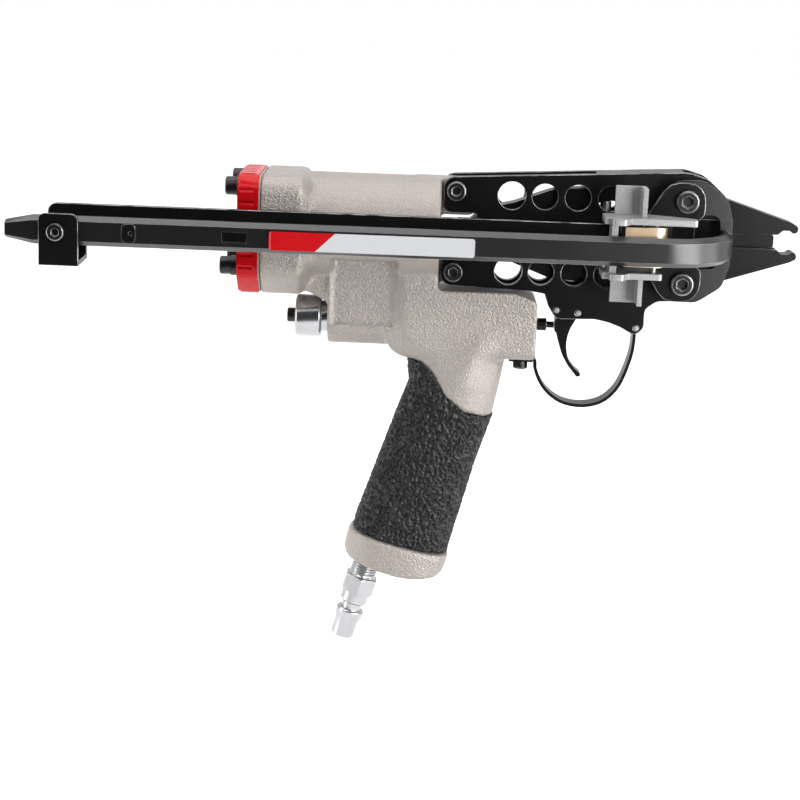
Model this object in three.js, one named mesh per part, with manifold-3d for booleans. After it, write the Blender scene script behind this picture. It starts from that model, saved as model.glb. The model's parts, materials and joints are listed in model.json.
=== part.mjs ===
// Pneumatic hog ring tool. Millimetres, +Z up, +X towards the nose, magazine on the -Y side.
// The origin lies on the cylinder's axis, at the outer face of its rear cap.
import * as THREE from 'three';
import { mergeVertices } from 'three/addons/utils/BufferGeometryUtils.js';
import Module from 'manifold-3d';

const wasm = await Module();
wasm.setup();

// Fits shared by all pieces
const fit = { touch: 0.3, slide: 0.25, overrun: 1 };

// Facets of round pieces
const facets = { fine: 36, round: 24, small: 14, tiny: 10, flute: 8, hex: 6 };
const arcStep = Math.PI / 6;
const bendSteps = 12;

// Driving dimensions of the air cylinder, its cap and its casting
const cap = { length: 9.6, halfWidth: 26.5, halfHeight: 24.5, lobeDepth: 31.8, lobeHalf: 13, corner: 8,
  lobeCorner: 5, fluteR: 1.3, fluteSet: 0.5, fluteInset: 0.5, fluteEnd: 2.2, hollowDepth: 4.3,
  lowerShare: 0.86 };
const gasket = { thickness: 0.8, inset: 0.6 };
const cylinder = { outerR: 24.5, boreR: 19, frontX: 92.8, wall: 12, bossLength: 18.4 };
const lug = { halfThickness: 5, length: 15.5, innerZ: 7, outerZ: 24.6, corner: 2 };
const housing = { axisZ: -43.8, outerR: 12.6, rearX: 41.6, frontX: 139.5, topZ: -18, boreR: 6.2, portR: 3.1 };
const block = { rearX: 75.8, halfWidth: 14.5, bottomZ: -59.3, lipX: 129.3, lipTopZ: -27.2, noseTopZ: -30.6,
  stepX: 125.8, corner: 4, edge: 1, heelX: 83 };
const web = { rearX: 24, footX: 31.5, footZ: -30.4, frontZ: -35.6, topZ: -12, halfWidth: 11, corner: 5 };
const throat = { rearX: 69.5, frontX: 84, drop: 8, halfWidth: 11.5, topZ: -46, bend: 11 };
const capScrew = { headR: 4.25, headLength: 5, socketR: 2.3, socketDepth: 2.6, shankR: 2.5, shankLength: 17,
  y: 17, z: 18.4, washerR: 4.7, washerThickness: 1.6, lowerWasherThickness: 3.7, seatR: 5.2, seatDepth: 0.5 };

// Handle, its rubber sleeve and the air plug
const handle = { topZ: -46, bottomZ: -166, frontX: 127.8, length: 73, halfWidth: 17, squareness: 2.5,
  lean: 16.5, channelR: 5, channelLength: 100, sleeve: 2.6, collarGrow: 1.8, plugShare: 0.11 };
const plug = { z: -167.7, threadR: 6.58, threadDepth: 13, threadLength: 3.8, threadPitch: 1.34, crest: 0.75,
  hexR: 8.66, hexLength: 8.7, chamfer: 0.8, collarR: 6.75, collarLength: 5.6, neckR: 4.9, neckLength: 3.4,
  noseR: 6.8, noseLength: 14.8, shoulder: 3.2, taper: 6.4, tipR: 5.75, round: 0.8, boreR: 3, bossR: 8.3,
  bossSet: 7.6, bossLength: 15 };

// Exhaust cap behind the valve
const exhaust = { outerR: 10, frontX: 38.5, rearX: 26.4, neckR: 7.4, headR: 3.45, headLength: 4.1,
  screwR: 1.6, socketR: 1.5, socketDepth: 2, bevel: 0.8, plugLength: 11.7, screwReach: 7 };

// Air valve, trigger and guard
const valve = { sleeveR: 6, sleeveBoreR: 3.4, sleeveRearX: 59.8, stemR: 2.2, stemRearX: 67.8, knobR: 3,
  knobLength: 4.2, noseR: 1.5, tipX: 148.2, springR: 3.1, springBoreR: 2.4, springLength: 12.8 };
const trigger = { pivotX: 158.8, pivotZ: -36.2, thickness: 8, height: 31.5, pinR: 1.25, bossR: 3.4 };
const guard = { width: 9, thickness: 1.5, centreX: 163.1, centreZ: -58.8, radius: 22.5, tabLength: 10.8,
  tabThickness: 2.1, pinX: 186.2, pinZ: -42.3, pinR: 1.25, loopR: 2.9, screwSet: 5.6, headR: 3.5,
  headLength: 3.9, shankR: 2, shankLength: 9, socketR: 1.7, socketDepth: 2 };

// Side plates, their screws and the bridge between them
const plate = { thickness: 4, innerY: 5, rearX: 93.8, length: 132.6, halfHeight: 31.2, holeZ: 17.7, holeR: 6,
  firstHoleR: 6.5, firstHoleX: 125.2, holePitch: 15.25, holes: 4, notchX: 210.3, notchHalf: 9.8,
  notchCorner: 3 };
const rearScrew = { x: 99.5, z: 18.85, headR: 4.6, headLength: 2.8, shankR: 2.4, socketR: 2.3,
  socketDepth: 1.8, nutR: 4.6, nutLength: 3.6 };
const noseScrew = { x: 204.8, z: 19, headR: 5.3, headLength: 3.4, shankR: 3.4, socketR: 2.9, socketDepth: 2.4,
  nutR: 5.6, nutLength: 4.6 };
const bridge = { rearX: 164.3, frontX: 203.8, thickness: 2, halfWidth: 4.9 };
const stopPin = { x: 148.6, z: -35.3, r: 1.25 };

// Jaws, driver and ring guide
const jaw = { thickness: 9.4, noseLength: 54.4, tailGap: 5.7, height: 28, holeR: 3.55, slotDepth: 4 };
const driver = { headX: 100.8, headLength: 15, headHalf: 5, headHalfWidth: 4.5, noseHalf: 7.3,
  noseLength: 7, noseRound: 2, rodR: 4.5, pistonX: 12.8, pistonLength: 12, pistonR: 18.75,
  ringWidth: 2.6, ringDepth: 2.4, spigotR: 3, spigotReach: 6.75, nutR: 5.5, nutLength: 3.5 };
const returnSpring = { outerR: 12, innerR: 6.5 };
const bush = { outerR: 7, innerR: 4.7, flangeR: 10, flangeLength: 2.4 };
const jawSpring = { placeShare: 0.39, outerR: 2.6, innerR: 1.7, reachShare: 0.56 };
const ringGuide = { halfHeight: 3, halfThickness: 1.6, reachShare: 0.8, rearX: 191.8, blockFrontX: 201.8,
  blockHalf: 4.6, pinX: 196.8, pinR: 2, slotReach: 1.8, corner: 1 };

// Magazine: outer rail, back strip, rear bracket and catch
const rail = { faceY: -49.5, thickness: 4.6, halfHeight: 6.5, faceHalf: 4.4, bevel: 2.6, rearX: -100.7,
  tipLength: 12.5, tipShare: 0.6, bendX: 192.8, bendOuter: 34, slotX: -4.2, slotLength: 11, slotHalf: 2.3,
  centreZ: -0.6 };
const yoke = { thickness: 4.2, lugR: 9.3, windowRearX: 199.3, windowFrontX: 221.3, windowHalf: 12.6,
  corner: 4 };
const strip = { y: -33, thickness: 3, halfHeight: 9.5, rearX: -84.6, corner: 4, bendX: 173.8, rampLength: 12,
  flareX: 185.5, openX: 191.8, lugR: 8.5, lugThickness: 4.3 };
const bracket = { rearX: -85.3, width: 17.6, topZ: 7.3, bottomZ: -15.9, thickness: 2.2, corner: 3,
  backTopZ: 8.6, spacerR: 4.5, screwX: -77.4, headR: 4, headLength: 3.2, shankR: 2, socketR: 1.9,
  socketDepth: 1.9 };
const latch = { x: -45.6, halfWidth: 3.1, halfHeight: 4.1, corner: 2, depth: 1.8, travel: 1.5, proud: 0.3,
  pinR: 0.9, stemR: 1.2 };

// Feed carriage with its flat coil spring
const pusher = { rearX: 168.4, frontX: 206.8, lowerFrontX: 192.4, plateThickness: 2.8, plateZ: 10.9,
  frontY: -48, backY: -27.2,
  wallThickness: 3, armWidth: 16, tipWidth: 7, lipLength: 6, heel: 3, corner: 1.4, tabThickness: 2,
  tabRearX: 170.8, tabWidth: 13.6, tabHeight: 12.8, flangeDepth: 9.5, flangeThickness: 2.2 };
const coil = { centreX: 188.6, outerR: 5.3, turns: 3, strip: 0.3, pitch: 0.85, topZ: 9.9, bottomZ: -7.8,
  stepsPerTurn: 16, pinR: 1.2, drumR: 2.2, tail: 14 };

// Places that follow from them
const plugX = handle.frontX - (1 - handle.plugShare) * handle.length;
const handleRearX = handle.frontX - handle.length;
const guardScrewX = handle.frontX + guard.screwSet;

// Finishes
const finish = {
  casting: { color: 0xbeb4ac, roughness: 0.62, metalness: 0.25 },
  red: { color: 0xc4122a, roughness: 0.3, metalness: 0.1 },
  black: { color: 0x1c1c1d, roughness: 0.42, metalness: 0.6 },
  gasket: { color: 0xd9d6d0, roughness: 0.8, metalness: 0 },
  rubber: { color: 0x2c2c2e, roughness: 0.85, metalness: 0 },
  chrome: { color: 0xd8dade, roughness: 0.16, metalness: 1 },
  steel: { color: 0xa9abad, roughness: 0.32, metalness: 0.95 },
  brass: { color: 0xd2b07a, roughness: 0.28, metalness: 0.9 },
};

const tool = new THREE.Group();
const radians = THREE.MathUtils.degToRad;

// Solids: a closed three.js geometry becomes a body that can be joined and cut
function solid(geometry) {
  const bare = geometry.clone();
  bare.deleteAttribute('normal');
  bare.deleteAttribute('uv');
  const merged = mergeVertices(bare, 1e-4);
  const vertProperties = new Float32Array(merged.attributes.position.array);
  const kept = [];
  for (let i = 0; i < merged.index.count; i += 3) {
    const [a, b, c] = [0, 1, 2].map((k) => merged.index.getX(i + k));
    if (a !== b && b !== c && a !== c) kept.push(a, b, c);
  }
  let triVerts = new Uint32Array(kept);
  if (signedVolume(vertProperties, triVerts) < 0) triVerts = flipped(triVerts);
  return new wasm.Manifold(new wasm.Mesh({ numProp: 3, vertProperties, triVerts }));
}

function signedVolume(points, triangles) {
  const at = (i) => new THREE.Vector3().fromArray(points, i * 3);
  let sum = 0;
  for (let i = 0; i < triangles.length; i += 3) {
    sum += at(triangles[i]).dot(at(triangles[i + 1]).cross(at(triangles[i + 2])));
  }
  return sum;
}

function flipped(triangles) {
  const turned = triangles.slice();
  for (let i = 0; i < turned.length; i += 3) {
    turned[i + 1] = triangles[i + 2];
    turned[i + 2] = triangles[i + 1];
  }
  return turned;
}

const join = (first, ...rest) => rest.reduce((sum, next) => sum.add(next), first);
const cut = (first, ...rest) => rest.reduce((sum, next) => sum.subtract(next), first);
const common = (first, ...rest) => rest.reduce((sum, next) => sum.intersect(next), first);

function geometryOf(body) {
  const raw = body.getMesh();
  const geometry = new THREE.BufferGeometry();
  geometry.setAttribute('position', new THREE.BufferAttribute(raw.vertProperties, 3));
  geometry.setIndex(new THREE.BufferAttribute(raw.triVerts, 1));
  return geometry;
}

// A named mesh of the tool
function piece(name, body, look) {
  const geometry = geometryOf(body);
  geometry.computeVertexNormals();
  const mesh = new THREE.Mesh(geometry, new THREE.MeshStandardMaterial(look));
  mesh.name = name;
  tool.add(mesh);
  return mesh;
}

// Outline through points [across, up, radius], each corner rounded by its radius
function rounded(points) {
  const out = [];
  points.forEach(([x, y, radius = 0], i) => {
    const here = new THREE.Vector2(x, y);
    const before = new THREE.Vector2(...points.at(i - 1)).sub(here);
    const after = new THREE.Vector2(...points[(i + 1) % points.length]).sub(here);
    const half = before.angleTo(after) / 2;
    const reach = Math.min(radius / Math.tan(half), before.length() * 0.49, after.length() * 0.49);
    if (radius === 0 || reach < radius * 0.01) {
      out.push(here);
      return;
    }
    const r = reach * Math.tan(half);
    const inward = before.clone().normalize().add(after.clone().normalize());
    const middle = inward.setLength(r / Math.sin(half)).add(here);
    const from = before.setLength(reach).add(here).sub(middle);
    const to = after.setLength(reach).add(here).sub(middle);
    const sweep = Math.atan2(from.cross(to), from.dot(to));
    const steps = Math.max(1, Math.ceil(Math.abs(sweep) / arcStep));
    for (let k = 0; k <= steps; k += 1) {
      out.push(from.clone().rotateAround(new THREE.Vector2(), (sweep * k) / steps).add(middle));
    }
  });
  return out;
}

// Flat outline in the XZ plane, as thick as the stretch from lowY to highY
function slab(points, lowY, highY) {
  const geometry = new THREE.ExtrudeGeometry(new THREE.Shape(rounded(points)),
    { depth: highY - lowY, bevelEnabled: false });
  return solid(geometry.rotateX(Math.PI / 2).translate(0, highY, 0));
}

// Section in the YZ plane, as long as the stretch from lowX to highX
function bar(points, lowX, highX) {
  const geometry = new THREE.ExtrudeGeometry(new THREE.Shape(rounded(points)),
    { depth: highX - lowX, bevelEnabled: false });
  const turn = new THREE.Matrix4().makeBasis(new THREE.Vector3(0, 1, 0), new THREE.Vector3(0, 0, 1),
    new THREE.Vector3(1, 0, 0));
  return solid(geometry.applyMatrix4(turn).translate(lowX, 0, 0));
}

// Outline in the XY plane, as tall as the stretch from lowZ to highZ
function layer(points, lowZ, highZ) {
  const geometry = new THREE.ExtrudeGeometry(new THREE.Shape(rounded(points)),
    { depth: highZ - lowZ, bevelEnabled: false });
  return solid(geometry.translate(0, 0, lowZ));
}

// Box between two corners
function box(low, high) {
  const size = high.map((value, i) => value - low[i]);
  const centre = high.map((value, i) => (value + low[i]) / 2);
  return solid(new THREE.BoxGeometry(...size).translate(...centre));
}

// Turned piece with the profile [radius, height], its axis along X, Y or Z
const turns = {
  x: (geometry) => geometry.rotateZ(-Math.PI / 2),
  y: (geometry) => geometry,
  z: (geometry) => geometry.rotateX(Math.PI / 2),
};

function turned(profile, axis, at = [0, 0, 0], segments = facets.small) {
  const closed = profile[0][0] > 0 || profile.at(-1)[0] > 0 ? [...profile, profile[0]] : profile;
  const points = closed.map(([radius, height]) => new THREE.Vector2(radius, height));
  return solid(turns[axis](new THREE.LatheGeometry(points, segments)).translate(...at));
}

// Plain round rod from one height to another along its axis
function rod(radius, from, to, axis, at, segments) {
  return turned([[0, from], [radius, from], [radius, to], [0, to]], axis, at, segments);
}

// Round tube
function tube(outer, inner, from, to, axis, at, segments) {
  return turned([[outer, from], [outer, to], [inner, to], [inner, from]], axis, at, segments);
}

// Rings of points joined into one closed skin
function loft(rings) {
  const count = rings[0].length;
  const positions = rings.flat().flatMap((point) => point.toArray());
  const index = [];
  for (let ring = 0; ring < rings.length - 1; ring += 1) {
    for (let i = 0; i < count; i += 1) {
      const a = ring * count + i;
      const b = ring * count + ((i + 1) % count);
      index.push(a, b, a + count, b, b + count, a + count);
    }
  }
  const last = (rings.length - 1) * count;
  for (let i = 1; i < count - 1; i += 1) {
    index.push(0, i + 1, i);
    index.push(last, last + i, last + i + 1);
  }
  const geometry = new THREE.BufferGeometry();
  geometry.setAttribute('position', new THREE.Float32BufferAttribute(positions, 3));
  geometry.setIndex(index);
  return solid(geometry);
}

// Socket screw along +Y from the seat of its head: head towards -Y
function socketScrew(screw, length, segments = facets.small) {
  const shank = turned([[0, length], [screw.shankR, length], [screw.shankR, 0], [screw.headR, 0],
    [screw.headR, -screw.headLength * 0.85], [screw.headR * 0.9, -screw.headLength],
    [0, -screw.headLength]], 'y', [0, 0, 0], segments);
  return cut(shank, rod(screw.socketR, -screw.headLength - fit.overrun, screw.socketDepth - screw.headLength,
    'y', [0, 0, 0], facets.hex));
}

// Hexagon nut along +Y with its bore
function hexNut(outer, bore, length) {
  return cut(rod(outer, 0, length, 'y', [0, 0, 0], facets.hex),
    rod(bore, -fit.overrun, length + fit.overrun, 'y', [0, 0, 0], facets.small));
}

// Outline of the cap and of the casting's boss, drawn in by an inset
function bossOutline(inset) {
  const side = cap.halfWidth - inset;
  const lower = cap.halfHeight * cap.lowerShare - inset;
  return [
    [side, cap.halfHeight - inset, cap.corner], [side, -lower, cap.corner],
    [cap.lobeHalf - inset, -cap.lobeDepth + inset, cap.lobeCorner],
    [-cap.lobeHalf + inset, -cap.lobeDepth + inset, cap.lobeCorner],
    [-side, -lower, cap.corner], [-side, cap.halfHeight - inset, cap.corner],
  ];
}

const castingRearX = cap.length + gasket.thickness;
const bossFrontX = castingRearX + cylinder.bossLength;
const boreEndX = cylinder.frontX - cylinder.wall;

// Rear cap with its grip flutes and sunk screw seats
const capScrewPlaces = [[1, 1], [-1, 1], [1, -1], [-1, -1]].map(([y, z]) => [y * capScrew.y, z * capScrew.z]);

function rearCap() {
  const front = bar(bossOutline(0), cap.fluteEnd / 2, cap.length);
  const back = bar(bossOutline(cap.fluteInset), 0, cap.length / 2);
  const places = [];
  const fluteShares = [-0.72, -0.48, -0.24, 0, 0.24, 0.48, 0.72];
  fluteShares.forEach((share) => {
    [-1, 1].forEach((side) => places.push([side * (cap.halfWidth + cap.fluteSet), share * cap.halfHeight]));
    places.push([share * cap.halfWidth, cap.halfHeight + cap.fluteSet]);
  });
  const flutes = places.map(([y, z]) => rod(cap.fluteR, -fit.overrun, cap.length - cap.fluteEnd, 'x',
    [0, y, z], facets.flute));
  const holes = capScrewPlaces.map(([y, z]) => rod(capScrew.shankR + fit.slide, -fit.overrun,
    cap.length + fit.overrun, 'x', [0, y, z]));
  const seats = capScrewPlaces.map(([y, z]) => rod(capScrew.seatR, -fit.overrun, capScrew.seatDepth, 'x',
    [0, y, z], facets.round));
  const hollow = rod(cylinder.boreR, cap.length - cap.hollowDepth, cap.length + fit.overrun, 'x', [0, 0, 0],
    facets.round);
  return cut(join(front, back), ...flutes, ...holes, ...seats, hollow);
}

// Thin gasket between cap and casting
function rearGasket() {
  const holes = capScrewPlaces.map(([y, z]) => rod(capScrew.shankR + fit.slide, cap.length - fit.overrun,
    castingRearX + fit.overrun, 'x', [0, y, z]));
  const bore = rod(cylinder.boreR, cap.length - fit.overrun, castingRearX + fit.overrun, 'x', [0, 0, 0],
    facets.fine);
  return cut(bar(bossOutline(gasket.inset), cap.length, castingRearX), bore, ...holes);
}

// Cylinder body: square boss, its blend to the round barrel, and the barrel
function barrel() {
  const outline = rounded(bossOutline(0)).map((point) => point.clone());
  const ring = (x, mix) => outline.map((point) => {
    const round = point.clone().setLength(cylinder.outerR);
    const mixed = point.clone().lerp(round, mix);
    return new THREE.Vector3(x, mixed.x, mixed.y);
  });
  const shares = [[0, 0], [1, 0], [1.12, 0.35], [1.25, 0.8], [1.4, 1], [1.6, 1]];
  const rings = shares.map(([along, mix]) => ring(castingRearX + along * cylinder.bossLength, mix));
  const round = rod(cylinder.outerR, bossFrontX, cylinder.frontX, 'x', [0, 0, 0], facets.fine);
  return join(loft(rings), round);
}

// Valve housing and trigger block under the barrel
const roofZ = housing.topZ + housing.outerR;

function lowerBody() {
  const bottomZ = housing.axisZ - housing.outerR;
  const neck = bar([[housing.outerR, housing.topZ], [housing.outerR, bottomZ, housing.outerR],
    [-housing.outerR, bottomZ, housing.outerR], [-housing.outerR, housing.topZ]],
  housing.rearX, housing.frontX - fit.overrun);
  const across = bar([[block.halfWidth, roofZ], [block.halfWidth, block.bottomZ, block.corner],
    [-block.halfWidth, block.bottomZ, block.corner], [-block.halfWidth, roofZ]], block.rearX, housing.frontX);
  const side = slab([[block.rearX, housing.axisZ, block.corner], [block.rearX, roofZ],
    [cylinder.frontX, roofZ], [cylinder.frontX, block.lipTopZ], [block.lipX, block.lipTopZ, block.corner],
    [housing.frontX, block.noseTopZ, block.corner], [housing.frontX, block.bottomZ, block.edge],
    [block.stepX, block.bottomZ], [block.heelX, block.bottomZ, block.corner]], -cap.halfWidth, cap.halfWidth);
  const roof = slab([[housing.rearX, roofZ], [cylinder.frontX, roofZ],
    [cylinder.frontX, block.lipTopZ], [block.lipX, block.lipTopZ], [housing.frontX, block.noseTopZ],
    [housing.frontX, bottomZ], [housing.rearX, bottomZ]], -cap.halfWidth, cap.halfWidth);
  const webFrontX = housing.rearX + web.corner;
  const rearWeb = slab([[web.rearX, web.topZ], [web.rearX, web.footZ, web.corner],
    [web.footX, web.footZ, web.corner], [housing.rearX, web.frontZ], [webFrontX, web.frontZ],
    [webFrontX, web.topZ]], -web.halfWidth, web.halfWidth);
  const backWeb = slab([[throat.rearX, throat.topZ], [throat.rearX, bottomZ + fit.touch, throat.bend],
    [throat.frontX, bottomZ - throat.drop, throat.bend], [throat.frontX, throat.topZ]],
  -throat.halfWidth, throat.halfWidth);
  return join(common(neck, roof), common(across, side), rearWeb, backWeb);
}

// Handle sections: share of height, of length to the centre, half length and half width
const handleShares = [
  [0, 0.68, 0.325, 0.78], [0.13, 0.658, 0.316, 0.88], [0.225, 0.654, 0.294, 0.97], [0.35, 0.597, 0.312, 1],
  [0.53, 0.5, 0.315, 1], [0.77, 0.382, 0.331, 1], [0.885, 0.333, 0.331, 1], [1, 0.3, 0.331, 1],
  [1.1, 0.272, 0.331, 0.96],
];

function handleLoft(grow) {
  const height = handle.topZ - handle.bottomZ;
  const rings = handleShares.map(([down, centre, halfLength, halfWidth]) => {
    const points = [];
    for (let i = 0; i < facets.round; i += 1) {
      const angle = (i / facets.round) * Math.PI * 2;
      const power = 2 / handle.squareness;
      const along = Math.sign(Math.cos(angle)) * Math.abs(Math.cos(angle)) ** power;
      const across = Math.sign(Math.sin(angle)) * Math.abs(Math.sin(angle)) ** power;
      const middleX = handleRearX + centre * handle.length;
      points.push(new THREE.Vector3(middleX + along * (halfLength * handle.length + grow),
        across * (halfWidth * handle.halfWidth + grow), handle.topZ - down * height));
    }
    return points;
  });
  return loft(rings);
}

// Upper and lower edge of the rubber sleeve, as shares of the handle's length and height
const sleeveTopShares = [
  [-0.3, 0.126], [0.36, 0.126], [0.43, 0.133], [0.5, 0.17], [0.6, 0.262], [0.72, 0.32], [0.86, 0.345],
  [1.2, 0.34],
];
const sleeveFootShares = [[1.2, 1.001], [-0.3, 0.78]];
const aboveShares = [[1.2, -0.2], [-0.3, -0.2]];
const coreShares = [...aboveShares, [-0.3, 0.86], [1.2, 0.99]];

// Foot of the handle below the sleeve
const footShares = [
  [-0.04, 0.905], [-0.02, 0.935], [0.03, 0.953], [0.194, 0.985], [0.349, 1.01], [0.481, 1.016], [0.58, 1.012],
  [0.625, 0.99], [0.65, 0.95], [0.66, 0.927], [-0.04, 0.823],
];

function onHandle(shares) {
  const height = handle.topZ - handle.bottomZ;
  return shares.map(([along, down]) => [handleRearX + along * handle.length, handle.topZ - down * height, 0]);
}

function handleZone(shares) {
  return slab(onHandle(shares), -cap.halfWidth, cap.halfWidth);
}

// Body turned to the plug's lean, about the centre of its thread
const plugTurn = radians(handle.lean);

function leaning(body) {
  return solid(geometryOf(body).rotateY(plugTurn).translate(plugX, 0, plug.z));
}

function handleBody() {
  const skin = common(handleLoft(0), handleZone([...aboveShares, ...sleeveTopShares]));
  const foot = common(handleLoft(handle.collarGrow), handleZone(footShares));
  const footBoss = leaning(rod(plug.bossR, plug.bossSet, plug.bossLength, 'z', [0, 0, 0], facets.round));
  const core = common(handleLoft(-handle.sleeve), handleZone(coreShares));
  return join(core, skin, foot, footBoss);
}

// The whole casting
function casting() {
  const tongueEndX = cylinder.frontX + lug.length;
  const tongue = [1, -1].map((up) => slab([[boreEndX, up * lug.innerZ],
    [tongueEndX, up * lug.innerZ, lug.corner], [tongueEndX, up * lug.outerZ, lug.corner],
    [boreEndX, up * lug.outerZ]], -lug.halfThickness, lug.halfThickness));
  const body = join(barrel(), lowerBody(), handleBody(), ...tongue);
  const bore = rod(cylinder.boreR, castingRearX - fit.overrun, boreEndX, 'x', [0, 0, 0], facets.fine);
  const bushHole = rod(bush.outerR + fit.slide, boreEndX - fit.overrun, cylinder.frontX + fit.overrun, 'x',
    [0, 0, 0], facets.round);
  const screwHoles = capScrewPlaces.map(([y, z]) => rod(capScrew.shankR + fit.slide,
    castingRearX - fit.overrun, castingRearX + capScrew.shankLength, 'x', [0, y, z]));
  const valveBore = rod(housing.boreR, housing.rearX - fit.overrun, housing.frontX + fit.overrun, 'x',
    [0, 0, housing.axisZ], facets.round);
  const plateHoles = [1, -1].map((up) => rod(rearScrew.shankR + fit.slide, -cap.halfWidth, cap.halfWidth, 'y',
    [rearScrew.x, 0, up * rearScrew.z]));
  const guardHole = rod(guard.shankR + fit.slide, -guard.shankLength, guard.shankLength, 'z',
    [guardScrewX, 0, block.bottomZ]);
  const channel = leaning(rod(handle.channelR, 0, handle.channelLength, 'z'));
  const thread = leaning(rod(plug.threadR + fit.slide, -plug.bossLength, plug.threadDepth + fit.slide, 'z'));
  const port = rod(housing.portR, housing.axisZ, 0, 'z', [boreEndX - housing.boreR, 0, 0]);
  return cut(body, bore, bushHole, ...screwHoles, valveBore, ...plateHoles, guardHole, channel, thread, port);
}

piece('casting', casting(), finish.casting);
piece('rear_cap', rearCap(), finish.red);
piece('rear_gasket', rearGasket(), finish.gasket);

// Rubber sleeve round the handle
function gripSleeve() {
  const outside = common(handleLoft(0), handleZone([...sleeveTopShares, ...sleeveFootShares]));
  return cut(outside, handleLoft(fit.touch - handle.sleeve));
}

piece('grip_sleeve', gripSleeve(), finish.rubber);

// Screws of the rear cap, with their washers, which are thicker on the lower two
capScrewPlaces.forEach(([y, z], i) => {
  const thickness = z > 0 ? capScrew.washerThickness : capScrew.lowerWasherThickness;
  const headX = capScrew.seatDepth - thickness;
  const washer = piece(`cap_washer_${i + 1}`, tube(capScrew.washerR, capScrew.shankR + fit.slide, 0, thickness,
    'x'), finish.black);
  washer.position.set(headX, y, z);
  const screw = piece(`cap_screw_${i + 1}`, socketScrew(capScrew, capScrew.shankLength), finish.black);
  screw.position.set(headX, y, z);
  screw.rotation.z = -Math.PI / 2;
});

// Air plug along -Z of its lean: thread with crests, hexagon, collar, neck and tapered nose
function airPlug() {
  const crests = [];
  const lastCrest = plug.threadLength - plug.threadPitch;
  for (let height = -plug.bossSet; height < lastCrest; height += plug.threadPitch) {
    crests.push([plug.threadR, height], [plug.threadR - plug.crest, height + plug.threadPitch / 2]);
  }
  const hexEnd = plug.threadLength + plug.hexLength;
  const collarEnd = hexEnd + plug.collarLength;
  const noseStart = collarEnd + plug.neckLength;
  const tipEnd = noseStart + plug.noseLength;
  const body = turned([[0, -plug.threadDepth], [plug.threadR, -plug.threadDepth], ...crests,
    [plug.threadR, plug.threadLength], [plug.threadR, hexEnd - plug.chamfer], [plug.collarR, hexEnd],
    [plug.collarR, collarEnd - plug.round], [plug.collarR - plug.round, collarEnd], [plug.neckR, collarEnd],
    [plug.neckR, noseStart], [plug.noseR - plug.round, noseStart], [plug.noseR, noseStart + plug.round],
    [plug.noseR, noseStart + plug.shoulder], [plug.tipR, noseStart + plug.taper],
    [plug.tipR, tipEnd - plug.round], [plug.tipR - plug.round, tipEnd], [0, tipEnd]],
  'z', [0, 0, 0], facets.round);
  const hex = rod(plug.hexR, plug.threadLength, hexEnd, 'z', [0, 0, 0], facets.hex);
  const round = turned([[0, plug.threadLength], [plug.hexR - plug.chamfer, plug.threadLength],
    [plug.hexR, plug.threadLength + plug.chamfer], [plug.hexR, hexEnd - plug.chamfer],
    [plug.hexR - plug.chamfer, hexEnd], [0, hexEnd]], 'z', [0, 0, 0], facets.round);
  const bore = rod(plug.boreR, -plug.threadDepth - fit.overrun, tipEnd + fit.overrun, 'z', [0, 0, 0]);
  return cut(join(body, common(hex, round)), bore);
}

const plugMesh = piece('air_plug', airPlug(), finish.chrome);
plugMesh.rotation.y = Math.PI + plugTurn;
plugMesh.position.set(plugX - fit.touch * Math.sin(plugTurn), 0, plug.z - fit.touch * Math.cos(plugTurn));

// Exhaust cap and the screw through it
function exhaustCap() {
  const body = turned([[0, exhaust.rearX], [exhaust.outerR - exhaust.bevel, exhaust.rearX],
    [exhaust.outerR, exhaust.rearX + exhaust.bevel], [exhaust.outerR, exhaust.frontX - exhaust.bevel],
    [exhaust.outerR - exhaust.bevel, exhaust.frontX], [exhaust.neckR, exhaust.frontX],
    [exhaust.neckR, housing.rearX], [0, housing.rearX]], 'x', [0, 0, housing.axisZ], facets.round);
  return cut(body, rod(exhaust.screwR + fit.slide, exhaust.rearX - fit.overrun, housing.rearX + fit.overrun,
    'x', [0, 0, housing.axisZ]));
}

piece('exhaust_cap', exhaustCap(), finish.chrome);

const plugScrew = { ...exhaust, shankR: exhaust.screwR };
const exhaustScrewLength = housing.rearX - exhaust.rearX + exhaust.screwReach;
const exhaustScrew = piece('exhaust_screw', socketScrew(plugScrew, exhaustScrewLength), finish.black);
exhaustScrew.rotation.z = -Math.PI / 2;
exhaustScrew.position.set(exhaust.rearX, 0, housing.axisZ);

// Threaded plug that closes the valve bore and holds the exhaust screw
const valveEndFrontX = housing.rearX + exhaust.plugLength;
piece('valve_end_plug', tube(valve.sleeveR, exhaust.screwR + fit.slide, housing.rearX + fit.slide,
  valveEndFrontX, 'x', [0, 0, housing.axisZ], facets.round), finish.brass);

// Valve sleeve, stem and spring in the housing
const sleeveFrontX = housing.frontX - fit.overrun;
piece('valve_sleeve', tube(valve.sleeveR, valve.sleeveBoreR, valve.sleeveRearX, sleeveFrontX, 'x',
  [0, 0, housing.axisZ], facets.round), finish.brass);
const knobFrontX = housing.frontX + fit.overrun + valve.knobLength;
const stemRing = (x) => [[valve.stemR, x], [valve.sleeveBoreR - fit.slide, x],
  [valve.sleeveBoreR - fit.slide, x + valve.stemR], [valve.stemR, x + valve.stemR]];
piece('valve_stem', turned([[0, valve.stemRearX], [valve.stemR, valve.stemRearX],
  ...stemRing(valve.stemRearX + valve.stemR), ...stemRing(boreEndX),
  ...stemRing(cylinder.frontX + lug.length),
  [valve.stemR, housing.frontX + fit.overrun], [valve.knobR, housing.frontX + fit.overrun],
  [valve.knobR, knobFrontX], [valve.noseR, knobFrontX], [valve.noseR, valve.tipX], [0, valve.tipX]],
'x', [0, 0, housing.axisZ]), finish.black);
piece('valve_spring', tube(valve.springR, valve.springBoreR, valve.stemRearX - fit.touch - valve.springLength,
  valve.stemRearX - fit.touch, 'x', [0, 0, housing.axisZ]), finish.steel);

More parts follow.
